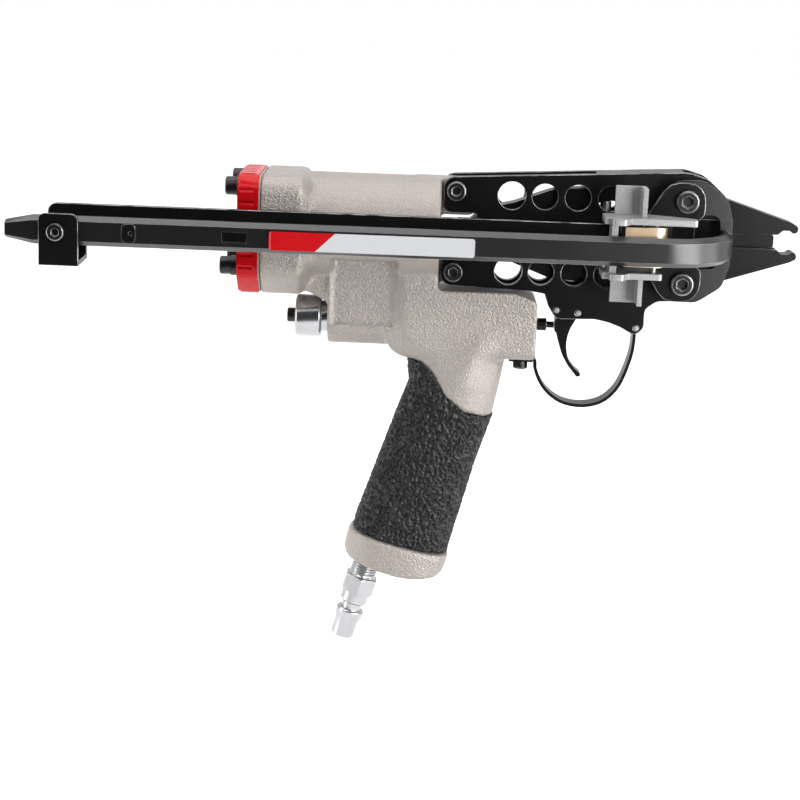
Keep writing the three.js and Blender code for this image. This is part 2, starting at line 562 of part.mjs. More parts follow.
// Side plate outline, as shares of its length and half height
const plateShares = [
  [0, 0.804, 0.15], [0.58, 0.936, 0], [0.845, 1, 0.3], [0.917, 0.91, 0.2], [0.984, 0.65, 0.2], [1, 0.4, 0.2],
  [1, -0.47, 0.2], [0.97, -0.72, 0.2], [0.905, -0.913, 0.3], [0.764, -0.938, 0.17], [0.724, -1.06, 0.1],
  [0.724, -1.34, 0.12], [0.6965, -1.478, 0.13], [0.641, -1.352, 0.2], [0.596, -1.282, 0.3],
  [0.549, -1.243, 0.3], [0.412, -1.262, 0.14], [0.382, -1.06, 0.1], [0.37, -0.89, 0.03], [0.317, -0.853, 0],
  [0, -0.804, 0.15],
  [0, -0.279, 0.13], [0.118, -0.279, 0.03], [0.118, 0.279, 0.03], [0, 0.279, 0.13],
];

function plateOutline() {
  return plateShares.map(([along, up, round]) => [plate.rearX + along * plate.length, up * plate.halfHeight,
    round * plate.halfHeight]);
}

function sidePlate(side) {
  const near = Math.min(side * plate.innerY, side * (plate.innerY + plate.thickness));
  const far = near + plate.thickness;
  const through = (radius, x, z, segments = facets.tiny) => rod(radius, near - fit.overrun,
    far + fit.overrun, 'y', [x, 0, z], segments);
  const holes = [];
  for (let i = 0; i < plate.holes; i += 1) {
    const x = plate.firstHoleX + i * plate.holePitch;
    const radius = i === 0 ? plate.firstHoleR : plate.holeR;
    [1, -1].forEach((up) => holes.push(through(radius, x, up * plate.holeZ, facets.round)));
  }
  [1, -1].forEach((up) => {
    holes.push(through(rearScrew.shankR + fit.slide, rearScrew.x, up * rearScrew.z));
    holes.push(through(noseScrew.shankR + fit.slide, noseScrew.x, up * noseScrew.z));
  });
  holes.push(through(trigger.pinR + fit.slide, trigger.pivotX, trigger.pivotZ));
  holes.push(through(stopPin.r + fit.slide, stopPin.x, stopPin.z));
  holes.push(through(guard.pinR + fit.slide, guard.pinX, guard.pinZ));
  holes.push(through(ringGuide.pinR + fit.slide, ringGuide.pinX, 0));
  return cut(slab(plateOutline(), near, far), ...holes);
}

// The near plate is open at the nose for the rings
function nearPlate() {
  const frontX = plate.rearX + plate.length + fit.overrun;
  const notch = slab([[plate.notchX, -plate.notchHalf, plate.notchCorner], [frontX, -plate.notchHalf],
    [frontX, plate.notchHalf], [plate.notchX, plate.notchHalf, plate.notchCorner]],
  -plate.innerY - plate.thickness - fit.overrun, -plate.innerY + fit.overrun);
  return cut(sidePlate(-1), notch);
}

piece('near_side_plate', nearPlate(), finish.black);
piece('far_side_plate', sidePlate(1), finish.black);

// Height of the plates' upper edge at a place along them
function plateTop(x) {
  const along = (x - plate.rearX) / plate.length;
  const edge = plateShares.slice(0, 3);
  const next = along > edge[1][0] ? 2 : 1;
  const [fromX, fromZ] = edge[next - 1];
  const [toX, toZ] = edge[next];
  return THREE.MathUtils.mapLinear(along, fromX, toX, fromZ, toZ) * plate.halfHeight;
}

const bridgeTop = [bridge.rearX, bridge.frontX].map((x) => [x, plateTop(x)]);
const bridgeFoot = bridgeTop.map(([x, z]) => [x, z - bridge.thickness]);
piece('top_bridge', slab([...bridgeTop, ...bridgeFoot.reverse()], -bridge.halfWidth, bridge.halfWidth),
  finish.black);

// Screws through the plates, with nuts on the far side
const plateFaceY = plate.innerY + plate.thickness;
const noseSeatY = plateFaceY + yoke.thickness + strip.lugThickness;
[['upper', 1], ['lower', -1]].forEach(([side, up]) => {
  const rearLength = 2 * plateFaceY + rearScrew.nutLength;
  const screw = piece(`rear_screw_${side}`, socketScrew(rearScrew, rearLength), finish.black);
  screw.position.set(rearScrew.x, -plateFaceY, up * rearScrew.z);
  const nut = piece(`rear_nut_${side}`, hexNut(rearScrew.nutR, rearScrew.shankR + fit.slide,
    rearScrew.nutLength), finish.black);
  nut.position.set(rearScrew.x, plateFaceY, up * rearScrew.z);
  const noseLength = noseSeatY + plateFaceY + noseScrew.nutLength;
  const pivot = piece(`jaw_screw_${side}`, socketScrew(noseScrew, noseLength), finish.black);
  pivot.position.set(noseScrew.x, -noseSeatY, up * noseScrew.z);
  const pivotNut = piece(`jaw_nut_${side}`, hexNut(noseScrew.nutR, noseScrew.shankR + fit.slide,
    noseScrew.nutLength), finish.black);
  pivotNut.position.set(noseScrew.x, plateFaceY, up * noseScrew.z);
});

// Short pins across the plates
function crossPin(name, radius, x, z, proud) {
  piece(name, rod(radius, -plateFaceY - proud, plateFaceY + proud, 'y', [x, 0, z]), finish.steel);
}

crossPin('trigger_pin', trigger.pinR, trigger.pivotX, trigger.pivotZ, fit.touch);
crossPin('stop_pin', stopPin.r, stopPin.x, stopPin.z, fit.touch);
crossPin('guard_pin', guard.pinR, guard.pinX, guard.pinZ, fit.touch);
crossPin('ring_guide_pin', ringGuide.pinR, ringGuide.pinX, 0, 0);

// Jaw outline above the axis: shares of its nose's or tail's length, and of its height
const jawShares = [
  [0.3696, 0.685, 0.1], [0.936, 0.33, 0.04], [1, 0.264, 0.06], [0.985, 0.17, 0.04], [0.95, 0.155, 0.02],
  [0.925, 0.2, 0.05], [0.863, 0.2, 0.05], [0.8255, 0.13, 0.02], [0.728, 0.12, 0], [0.44, 0.115, 0.04],
  [0.41, 0.072, 0.03], [0.135, 0.04, 0.1], [0.0324, 0.215, 0.1], [-0.0956, 0.34, 0.2], [-0.223, 0.52, 0.3],
  [-0.39, 0.6, 0.3], [-0.5176, 0.42, 0.2], [-0.597, 0.17, 0.05], [-0.65, 0.111, 0], [-0.812, 0.172, 0],
  [-0.98, 0.275, 0.02], [-1, 0.31, 0.04], [-0.9905, 0.4, 0.08], [-0.86, 0.5, 0.15], [-0.669, 0.735, 0.3],
  [-0.446, 0.8, 0.3], [-0.239, 0.88, 0.3], [-0.048, 0.99, 0.25], [0.148, 0.95, 0.3], [0.283, 0.84, 0.2],
];
const jawTailLength = noseScrew.x - cylinder.frontX - lug.length - jaw.tailGap;
const ringGuideFrontX = noseScrew.x + jaw.noseLength * ringGuide.reachShare;

function jawBody(up) {
  const outline = jawShares.map(([along, high, round]) => {
    const reach = along > 0 ? jaw.noseLength : jawTailLength;
    return [noseScrew.x + along * reach, high * jaw.height, round * jaw.height];
  });
  const body = slab(outline, -jaw.thickness / 2, jaw.thickness / 2);
  const hole = rod(jaw.holeR, -jaw.thickness, jaw.thickness, 'y', [noseScrew.x, 0, noseScrew.z]);
  const slotHalf = ringGuide.halfThickness + fit.touch;
  const slot = box([noseScrew.x, -slotHalf, -fit.overrun],
    [ringGuideFrontX + ringGuide.slotReach, slotHalf, ringGuide.halfHeight + jaw.slotDepth]);
  const whole = cut(body, hole, slot);
  return solid(geometryOf(whole).scale(1, 1, up));
}

piece('upper_jaw', jawBody(1), finish.black);
piece('lower_jaw', jawBody(-1), finish.black);

// Blade between the jaws that backs the ring, on a block held by a pin
function ringGuideBody() {
  const bladeRearX = ringGuide.blockFrontX - fit.overrun;
  const blade = slab([[bladeRearX, -ringGuide.halfHeight],
    [ringGuideFrontX, -ringGuide.halfHeight, ringGuide.corner],
    [ringGuideFrontX, ringGuide.halfHeight, ringGuide.corner], [bladeRearX, ringGuide.halfHeight]],
  -ringGuide.halfThickness, ringGuide.halfThickness);
  const halfY = plate.innerY - fit.slide / 2;
  const block = box([ringGuide.rearX, -halfY, -ringGuide.blockHalf],
    [ringGuide.blockFrontX, halfY, ringGuide.blockHalf]);
  const hole = rod(ringGuide.pinR + fit.slide, -plateFaceY, plateFaceY, 'y', [ringGuide.pinX, 0, 0]);
  return cut(join(block, blade), hole);
}

piece('ring_guide', ringGuideBody(), finish.black);

// Piston with its ring, rod, nut and driver head
const pistonFrontX = driver.pistonX + driver.pistonLength;
const grooveX = driver.pistonX + driver.pistonLength / 2 - driver.ringWidth / 2;
const grooveR = driver.pistonR - driver.ringDepth;

function pistonBody() {
  const bore = driver.spigotR + fit.slide;
  const grooveEndX = grooveX + driver.ringWidth;
  return turned([[bore, driver.pistonX], [driver.pistonR, driver.pistonX], [driver.pistonR, grooveX],
    [grooveR, grooveX], [grooveR, grooveEndX], [driver.pistonR, grooveEndX], [driver.pistonR, pistonFrontX],
    [bore, pistonFrontX]], 'x', [0, 0, 0], facets.round);
}

piece('piston', pistonBody(), finish.steel);
piece('piston_ring', tube(driver.pistonR + fit.slide / 5, grooveR + fit.slide, grooveX + fit.slide,
  grooveX + driver.ringWidth - fit.slide, 'x', [0, 0, 0], facets.round), finish.rubber);
const spigotEndX = driver.headX + driver.spigotReach;
const nutRearX = driver.pistonX - driver.nutLength;
piece('piston_rod', turned([[0, nutRearX], [driver.spigotR, nutRearX], [driver.spigotR, pistonFrontX],
  [driver.rodR, pistonFrontX], [driver.rodR, driver.headX],
  [driver.spigotR, driver.headX], [driver.spigotR, spigotEndX], [0, spigotEndX]], 'x'), finish.steel);
const pistonNut = piece('piston_nut', hexNut(driver.nutR, driver.spigotR + fit.slide, driver.nutLength),
  finish.steel);
pistonNut.rotation.z = Math.PI / 2;
pistonNut.position.set(driver.pistonX, 0, 0);

function driverHead() {
  const frontX = driver.headX + driver.headLength;
  const noseX = frontX - driver.noseLength;
  const body = slab([[driver.headX, -driver.headHalf], [noseX - driver.headHalf / 2, -driver.headHalf],
    [noseX, -driver.noseHalf, driver.noseRound], [frontX, -driver.noseHalf, driver.noseRound],
    [frontX, driver.noseHalf, driver.noseRound], [noseX, driver.noseHalf, driver.noseRound],
    [noseX - driver.headHalf / 2, driver.headHalf], [driver.headX, driver.headHalf]],
  -driver.headHalfWidth, driver.headHalfWidth);
  return cut(body, rod(driver.spigotR + fit.slide, driver.headX - fit.overrun, spigotEndX + fit.slide, 'x'));
}

piece('driver_head', driverHead(), finish.steel);

// Rod bush in the front wall, and the return spring between it and the piston
const flangeRearX = boreEndX - bush.flangeLength;
piece('rod_bush', turned([[bush.innerR, flangeRearX], [bush.flangeR, flangeRearX], [bush.flangeR, boreEndX],
  [bush.outerR, boreEndX], [bush.outerR, cylinder.frontX], [bush.innerR, cylinder.frontX]], 'x'), finish.brass);
piece('return_spring', tube(returnSpring.outerR, returnSpring.innerR, pistonFrontX + fit.touch,
  flangeRearX - fit.touch, 'x'), finish.steel);

// Tension spring that draws the jaws' tails together
const jawSpringHalf = jaw.height * jawSpring.reachShare;
const jawSpringX = noseScrew.x - jawTailLength * jawSpring.placeShare;
piece('jaw_spring', tube(jawSpring.outerR, jawSpring.innerR, -jawSpringHalf, jawSpringHalf, 'z',
  [jawSpringX, 0, 0]), finish.steel);

// Trigger outline from its pivot, as shares of its height
const triggerShares = [
  [-0.063, 0.095, 0.05], [-0.279, -0.108, 0], [-0.327, -0.14, 0.02], [-0.327, -0.311, 0.02],
  [-0.295, -0.343, 0], [-0.257, -0.483, 0.3], [-0.197, -0.663, 0.3], [-0.105, -0.825, 0.3],
  [0.044, -1.003, 0.02], [0.102, -0.984, 0.02], [0.092, -0.946, 0.01], [-0.041, -0.841, 0.3],
  [-0.114, -0.695, 0.3], [-0.143, -0.514, 0.3], [-0.114, -0.314, 0.3], [-0.016, -0.12, 0.1],
  [0.089, -0.032, 0.04], [0.032, 0.086, 0.05],
];

function triggerBody() {
  const outline = triggerShares.map(([along, up, round]) => [trigger.pivotX + along * trigger.height,
    trigger.pivotZ + up * trigger.height, round * trigger.height]);
  const half = trigger.thickness / 2;
  const boss = rod(trigger.bossR, -half, half, 'y', [trigger.pivotX, 0, trigger.pivotZ]);
  const hole = rod(trigger.pinR + fit.slide / 2, -plateFaceY, plateFaceY, 'y',
    [trigger.pivotX, 0, trigger.pivotZ]);
  return cut(join(slab(outline, -half, half), boss), hole);
}

piece('trigger', triggerBody(), finish.black);

// Centre line of the guard strap round the finger space, as shares of its radius about its centre
const guardShares = [
  [-1.004, -0.271], [-0.885, -0.542], [-0.69, -0.775], [-0.4, -0.955], [0, -1.015], [0.385, -0.925],
  [0.65, -0.71], [0.83, -0.4], [1.0, 0.18],
];

// Strip of even thickness along a smooth line
function ribbon(line, thickness, samples) {
  const points = line.getPoints(samples);
  const sides = [1, -1].map((side) => points.map((point, i) => {
    const ahead = line.getTangent(i / samples);
    return [point.x - side * ahead.y * thickness / 2, point.y + side * ahead.x * thickness / 2, 0];
  }));
  return [...sides[0], ...sides[1].reverse()];
}

function guardStrap() {
  const tabZ = block.bottomZ - guard.thickness / 2;
  const half = guard.width / 2;
  const tabEndX = handle.frontX + guard.tabLength;
  const onArc = guardShares.map(([x, z]) => new THREE.Vector2(guard.centreX + x * guard.radius,
    guard.centreZ + z * guard.radius));
  const line = new THREE.SplineCurve([new THREE.Vector2(tabEndX, tabZ),
    new THREE.Vector2(tabEndX + guard.thickness, tabZ - guard.thickness / 2), ...onArc,
    new THREE.Vector2(guard.pinX, guard.pinZ)]);
  const strap = slab(ribbon(line, guard.thickness, facets.fine), -half, half);
  const tab = box([handle.frontX, -half, block.bottomZ - guard.tabThickness],
    [tabEndX + fit.touch, half, block.bottomZ]);
  const loop = rod(guard.loopR, -half, half, 'y', [guard.pinX, 0, guard.pinZ]);
  const pinHole = rod(guard.pinR + fit.slide, -plateFaceY, plateFaceY, 'y', [guard.pinX, 0, guard.pinZ]);
  const screwHole = rod(guard.shankR + fit.slide, -guard.shankLength, fit.overrun, 'z',
    [guardScrewX, 0, block.bottomZ]);
  return cut(join(strap, tab, loop), pinHole, screwHole);
}

piece('trigger_guard', guardStrap(), finish.black);
const guardScrew = piece('guard_screw', socketScrew(guard, guard.shankLength), finish.black);
guardScrew.position.set(guardScrewX, 0, block.bottomZ - guard.tabThickness);
guardScrew.rotation.x = Math.PI / 2;

// Magazine rail: bevelled section, straight and then bent round to the nose
const railBackY = rail.faceY + rail.thickness;
const railSection = [[0, -rail.faceHalf], [rail.bevel, -rail.halfHeight], [rail.thickness, -rail.halfHeight],
  [rail.thickness, rail.halfHeight], [rail.bevel, rail.halfHeight], [0, rail.faceHalf]];

function railSweep() {
  const straight = (x, scale) => railSection.map(([depth, z]) => new THREE.Vector3(x, rail.faceY + depth,
    rail.centreZ + z * scale));
  const bent = (angle) => railSection.map(([depth, z]) => new THREE.Vector3(
    rail.bendX + (rail.bendOuter - depth) * Math.sin(angle),
    rail.faceY + rail.bendOuter - (rail.bendOuter - depth) * Math.cos(angle), rail.centreZ + z));
  const bends = [];
  for (let i = 0; i <= bendSteps; i += 1) bends.push(bent((i / bendSteps) * Math.PI / 2));
  const end = railSection.map(([depth, z]) => new THREE.Vector3(rail.bendX + rail.bendOuter - depth,
    -plateFaceY, rail.centreZ + z));
  return loft([straight(rail.rearX, rail.tipShare), straight(rail.rearX + rail.tipLength, 1), ...bends, end]);
}

// Yoke plate at the rail's end, under the jaw screws: shares of its reach from lug to front, and of its height
const yokeShares = [[0, 1, 1], [0.545, 1, 0.7], [0.905, 0.73, 0.7], [1, 0.36, 0.7]];

function yokePlate() {
  const rearX = noseScrew.x - yoke.lugR;
  const span = rail.bendX + rail.bendOuter - rearX;
  const top = noseScrew.z + yoke.lugR;
  const side = (up) => yokeShares.map(([along, high, round]) => [rearX + along * span, up * high * top,
    round * yoke.lugR]);
  const near = -plateFaceY - yoke.thickness;
  const corners = [[yoke.windowRearX, -1], [yoke.windowFrontX, -1], [yoke.windowFrontX, 1],
    [yoke.windowRearX, 1]];
  const window = slab(corners.map(([x, up]) => [x, up * yoke.windowHalf, yoke.corner]), near - fit.overrun,
    -plateFaceY + fit.overrun);
  return cut(slab([...side(1), ...side(-1).reverse()], near, -plateFaceY), window);
}

function noseHoles(fromY, toY) {
  return [1, -1].map((up) => rod(noseScrew.shankR + fit.slide, fromY - fit.overrun, toY + fit.overrun, 'y',
    [noseScrew.x, 0, up * noseScrew.z]));
}

function latchWindow(grow) {
  const halfX = latch.halfWidth + grow;
  const halfZ = latch.halfHeight + grow;
  return [[-1, -1], [1, -1], [1, 1], [-1, 1]].map(([along, up]) => [latch.x + along * halfX,
    rail.centreZ + up * halfZ, latch.corner]);
}

function magazineRail() {
  const slot = box([rail.slotX, rail.faceY - fit.overrun, rail.centreZ - rail.slotHalf],
    [rail.slotX + rail.slotLength, railBackY + fit.overrun, rail.centreZ + rail.slotHalf]);
  const window = slab(latchWindow(fit.slide), rail.faceY - fit.overrun,
    rail.faceY + latch.depth + latch.travel);
  const stemHole = rod(latch.stemR + fit.slide, rail.faceY, railBackY + fit.overrun, 'y',
    [latch.x, 0, rail.centreZ]);
  const screwHole = rod(bracket.shankR + fit.slide, rail.faceY - fit.overrun, railBackY + fit.overrun, 'y',
    [bracket.screwX, 0, rail.centreZ]);
  return cut(join(railSweep(), yokePlate()), slot, window, stemHole, screwHole,
    ...noseHoles(-plateFaceY - yoke.thickness, -plateFaceY));
}

piece('magazine_rail', magazineRail(), finish.black);

// Back strip of the magazine: flat, then a ramp in to a fork under the jaw screws
const stripBackY = strip.y + strip.thickness;

function stripBend(reach) {
  const endX = strip.bendX + strip.rampLength;
  const forkNearY = -noseSeatY;
  const forkFarY = forkNearY + strip.lugThickness;
  return layer([[strip.rearX - fit.overrun, strip.y], [strip.bendX, strip.y], [endX, forkNearY],
    [noseScrew.x + reach, forkNearY], [noseScrew.x + reach, forkFarY], [endX - strip.thickness / 2, forkFarY],
    [strip.bendX - strip.thickness / 2, stripBackY], [strip.rearX - fit.overrun, stripBackY]], -reach, reach);
}

function magazineStrip() {
  const low = noseScrew.z - strip.lugR;
  const top = noseScrew.z + strip.lugR;
  const lugRearX = noseScrew.x - strip.lugR;
  const lugFrontX = noseScrew.x + strip.lugR;
  const side = (up) => [[strip.rearX, up * strip.halfHeight, strip.corner],
    [strip.flareX, up * strip.halfHeight, strip.corner], [lugRearX, up * top, strip.lugR],
    [lugFrontX, up * top, strip.lugR], [lugFrontX, up * low, strip.corner], [lugRearX, up * low, strip.corner],
    [strip.openX, up * low / 2, strip.corner]];
  const outline = slab([...side(1), ...side(-1).reverse()], strip.y - fit.overrun, -plateFaceY);
  const screwHole = rod(bracket.shankR + fit.slide, strip.y - fit.overrun, stripBackY + fit.overrun, 'y',
    [bracket.screwX, 0, rail.centreZ]);
  return cut(common(stripBend(top), outline), screwHole, ...noseHoles(-noseSeatY, -plateFaceY));
}

piece('magazine_strip', magazineStrip(), finish.black);

// Rear bracket: folded plate under the rail that ties it to the strip
function rearBracket() {
  const frontX = bracket.rearX + bracket.width;
  const nearY = rail.faceY - bracket.thickness;
  const farY = stripBackY + bracket.thickness;
  const flange = (lowY, highY, topZ) => slab([[bracket.rearX, bracket.bottomZ], [frontX, bracket.bottomZ],
    [frontX, topZ, bracket.corner], [bracket.rearX, topZ, bracket.corner]], lowY, highY);
  const floor = box([bracket.rearX, nearY, bracket.bottomZ],
    [frontX, farY, bracket.bottomZ + bracket.thickness]);
  const hole = rod(bracket.shankR + fit.slide, nearY - fit.overrun, farY + fit.overrun, 'y',
    [bracket.screwX, 0, rail.centreZ]);
  const near = flange(nearY, rail.faceY, bracket.topZ);
  const far = flange(stripBackY, farY, bracket.backTopZ);
  return cut(join(near, far, floor), hole);
}

piece('rear_bracket', rearBracket(), finish.black);
piece('bracket_spacer', tube(bracket.spacerR, bracket.shankR + fit.slide, railBackY, strip.y, 'y',
  [bracket.screwX, 0, rail.centreZ]), finish.steel);
const bracketScrew = piece('bracket_screw', socketScrew(bracket,
  stripBackY + bracket.thickness + fit.overrun - rail.faceY + bracket.thickness), finish.black);
bracketScrew.position.set(bracket.screwX, rail.faceY - bracket.thickness, rail.centreZ);

// Sprung catch in the rail, with its stem through to the back
function latchButton() {
  const nearY = rail.faceY - latch.proud;
  const body = slab(latchWindow(0), nearY, rail.faceY + latch.depth);
  const stem = rod(latch.stemR, rail.faceY, railBackY + latch.travel, 'y', [latch.x, 0, rail.centreZ]);
  const dimple = rod(latch.pinR, nearY - fit.overrun, nearY + latch.proud * 2, 'y',
    [latch.x + latch.halfWidth / 4, 0, rail.centreZ]);
  return cut(join(body, stem), dimple);
}

piece('magazine_catch', latchButton(), finish.black);

// Feed carriage: two plates over and under rail and strip, joined between them, with folded finger tabs
const coilY = (railBackY + strip.y) / 2;

function pusherPlate(up) {
  const low = Math.min(up * pusher.plateZ, up * (pusher.plateZ + pusher.plateThickness));
  const high = low + pusher.plateThickness;
  const armY = pusher.backY - pusher.armWidth;
  const lipX = pusher.rearX + pusher.lipLength;
  const frontX = up > 0 ? pusher.frontX : pusher.lowerFrontX;
  const plan = layer([[pusher.rearX, pusher.frontY, pusher.corner], [lipX, pusher.frontY, pusher.corner],
    [lipX + pusher.heel, armY], [frontX, armY, pusher.corner],
    [frontX, armY + pusher.tipWidth, pusher.tipWidth / 2],
    [coil.centreX, pusher.backY, pusher.corner], [pusher.rearX - pusher.heel, pusher.backY, pusher.corner],
    [pusher.rearX - pusher.heel, armY], [pusher.rearX, armY]], low, high);
  const tabSpan = pusher.plateThickness + pusher.tabHeight;
  const foot = Math.min(up * pusher.plateZ, up * (pusher.plateZ + tabSpan));
  const tabY = pusher.backY - pusher.tabThickness;
  const tabFrontX = pusher.tabRearX + pusher.tabWidth;
  const tab = box([pusher.tabRearX, tabY, foot], [tabFrontX, pusher.backY, foot + tabSpan]);
  const flange = box([tabFrontX - pusher.flangeThickness, tabY - pusher.flangeDepth, foot],
    [tabFrontX, pusher.backY, foot + tabSpan]);
  return join(plan, tab, flange);
}

function pusherBody() {
  const reach = pusher.plateZ + pusher.plateThickness / 2;
  const wall = box([pusher.rearX, railBackY + fit.touch, -reach],
    [pusher.rearX + pusher.wallThickness, strip.y - fit.touch, reach]);
  const pinHole = rod(coil.pinR + fit.slide, -2 * reach, 2 * reach, 'z', [coil.centreX, coilY, 0]);
  return cut(join(pusherPlate(1), pusherPlate(-1), wall), pinHole);
}

piece('feed_pusher', pusherBody(), finish.steel);
const coilPinHalf = pusher.plateZ + pusher.plateThickness;
piece('coil_pin', rod(coil.pinR, -coilPinHalf, coilPinHalf, 'z', [coil.centreX, coilY, 0]), finish.steel);
piece('coil_drum', tube(coil.drumR, coil.pinR + fit.slide, coil.bottomZ, coil.topZ, 'z',
  [coil.centreX, coilY, 0]), finish.steel);

// Flat coil spring: one strip wound in a spiral, its free end lying along the rail
function coilPath() {
  const points = [];
  const count = coil.turns * coil.stepsPerTurn;
  for (let i = 0; i <= count; i += 1) {
    const angle = (i / coil.stepsPerTurn) * Math.PI * 2 - Math.PI / 2;
    const radius = coil.outerR - coil.pitch * (coil.turns - i / coil.stepsPerTurn);
    points.push(new THREE.Vector2(coil.centreX - radius * Math.cos(angle), coilY + radius * Math.sin(angle)));
  }
  const last = points.at(-1);
  points.push(new THREE.Vector2(last.x - coil.tail, last.y));
  return points;
}

function coilOutline(path) {
  const side = (sign) => path.map((point, i) => {
    const before = path[Math.max(i - 1, 0)];
    const after = path[Math.min(i + 1, path.length - 1)];
    const ahead = after.clone().sub(before).normalize();
    return [point.x - sign * ahead.y * coil.strip / 2, point.y + sign * ahead.x * coil.strip / 2, 0];
  });
  return [...side(1), ...side(-1).reverse()];
}

// Least gap of the strip to itself, measured on its points
function leastCoilGap(path) {
  let least = Infinity;
  path.forEach((point, i) => path.slice(i + coil.stepsPerTurn / 2).forEach((other) => {
    least = Math.min(least, point.distanceTo(other) - coil.strip);
  }));
  return least;
}

const coilLine = coilPath();
console.log(`feed coil: least gap to itself ${leastCoilGap(coilLine).toFixed(2)} mm`);
piece('feed_coil', layer(coilOutline(coilLine), coil.bottomZ, coil.topZ), finish.brass);

export default tool;
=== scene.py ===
# Pneumatic hog ring tool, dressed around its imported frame. Metres, +X to the nose, +Z up.
import json
import math

import bpy
from mathutils import Matrix, Vector, noise


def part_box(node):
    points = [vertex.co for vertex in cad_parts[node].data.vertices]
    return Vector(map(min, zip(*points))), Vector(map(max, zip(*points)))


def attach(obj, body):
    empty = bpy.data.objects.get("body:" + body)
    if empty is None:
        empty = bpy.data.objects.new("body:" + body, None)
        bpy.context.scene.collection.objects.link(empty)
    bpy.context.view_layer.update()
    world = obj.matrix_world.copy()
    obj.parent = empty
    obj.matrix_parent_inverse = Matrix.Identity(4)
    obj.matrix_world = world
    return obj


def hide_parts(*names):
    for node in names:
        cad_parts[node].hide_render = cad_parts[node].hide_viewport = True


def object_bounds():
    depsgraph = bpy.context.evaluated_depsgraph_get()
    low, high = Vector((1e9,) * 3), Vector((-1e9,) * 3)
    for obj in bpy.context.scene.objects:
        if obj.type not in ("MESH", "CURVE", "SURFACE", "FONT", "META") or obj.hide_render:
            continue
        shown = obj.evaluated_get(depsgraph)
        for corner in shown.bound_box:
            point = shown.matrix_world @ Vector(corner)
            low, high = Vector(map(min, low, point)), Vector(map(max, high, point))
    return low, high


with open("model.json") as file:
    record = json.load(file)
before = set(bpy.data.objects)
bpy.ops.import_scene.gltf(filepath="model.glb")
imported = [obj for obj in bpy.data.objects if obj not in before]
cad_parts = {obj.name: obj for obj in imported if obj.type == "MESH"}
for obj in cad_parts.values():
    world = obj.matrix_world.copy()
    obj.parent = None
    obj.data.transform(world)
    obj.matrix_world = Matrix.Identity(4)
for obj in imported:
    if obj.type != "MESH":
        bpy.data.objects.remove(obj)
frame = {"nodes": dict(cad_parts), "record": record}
cad_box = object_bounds()
MM = 0.001

# Casting. One sand-cast aluminium body holds the cylinder, the valve and the handle.
# It is blasted after casting and sprayed with a thin pearl grey coat, so its edges are
# round and its skin is finely grained. Every other piece is fixed to it.
PEARL = (0.435, 0.398, 0.368, 1)
PEARL_DARK = (0.365, 0.328, 0.30, 1)
PEARL_WARM = (0.37, 0.31, 0.275, 1)
BODY_OF = {node: body for body, nodes in frame["record"]["behaviour"]["bodies"].items() for node in nodes}


def fill(slot, value):
    """Links a flow to a socket, or sets the socket's own value."""
    if isinstance(value, Flow):
        value.tree.links.new(value.socket, slot)
    else:
        slot.default_value = value


class Flow:
    """A value in a node tree, on which sums are written."""

    def __init__(self, tree, socket):
        self.tree = tree
        self.socket = socket

    def reckon(self, operation, *terms):
        node = self.tree.nodes.new("ShaderNodeMath")
        node.operation = operation
        for slot, term in zip(node.inputs, terms):
            fill(slot, term)
        return Flow(self.tree, node.outputs[0])

    def __add__(self, other):
        return self.reckon("ADD", self, other)

    __radd__ = __add__

    def __rsub__(self, other):
        return self.reckon("SUBTRACT", other, self)

    def __mul__(self, other):
        return self.reckon("MULTIPLY", self, other)

    def __abs__(self):
        return self.reckon("ABSOLUTE", self)


class Finish:
    """A procedural material on object coordinates, with one Principled shader."""

    def __init__(self, name, roughness, metallic=0.0, **sockets):
        self.material = bpy.data.materials.new(name)
        self.material.use_nodes = True
        self.tree = self.material.node_tree
        self.shader = self.tree.nodes["Principled BSDF"]
        self.place = self.node("ShaderNodeTexCoord", "Object")
        self.shader.inputs["Roughness"].default_value = roughness
        self.shader.inputs["Metallic"].default_value = metallic
        for label, value in sockets.items():
            self.shader.inputs[label.replace("_", " ")].default_value = value

    def node(self, kind, output=0, values=None, **settings):
        """Adds a node with its settings and inputs, and gives one of its outputs."""
        made = self.tree.nodes.new(kind)
        for label, value in settings.items():
            setattr(made, label, value)
        for label, value in (values or {}).items():
            fill(made.inputs[label], value)
        return Flow(self.tree, made.outputs[output])

    def noise(self, per_metre, detail=2.0, squeeze=None, rough=0.5, distortion=0.0):
        """Cloudy noise, squeezed along an axis by a number over 1 and drawn out by one under 1."""
        place = self.place
        if squeeze:
            place = self.node("ShaderNodeMapping", 0, {"Vector": place, "Scale": squeeze})
        return self.node("ShaderNodeTexNoise", 0, {"Vector": place, "Scale": per_metre, "Detail": detail,
                                                   "Roughness": rough, "Distortion": distortion})

    def ramp(self, value, low, high):
        """0 below low and 1 above high, with a straight climb between them."""
        return self.node("ShaderNodeMapRange", 0, {"Value": value, "From Min": low, "From Max": high})

    def blend(self, factor, first, second):
        """Mix of two colours. A colour mix node has its factor at input 0, its colours at 6 and 7."""
        return self.node("ShaderNodeMix", 2, {0: factor, 6: first, 7: second}, data_type="RGBA")

    def feed(self, label, value):
        fill(self.shader.inputs[label], value)

    def relief(self, height, depth, strength):
        self.feed("Normal", self.node("ShaderNodeBump", 0, {"Height": height, "Distance": depth,
                                                            "Strength": strength}))


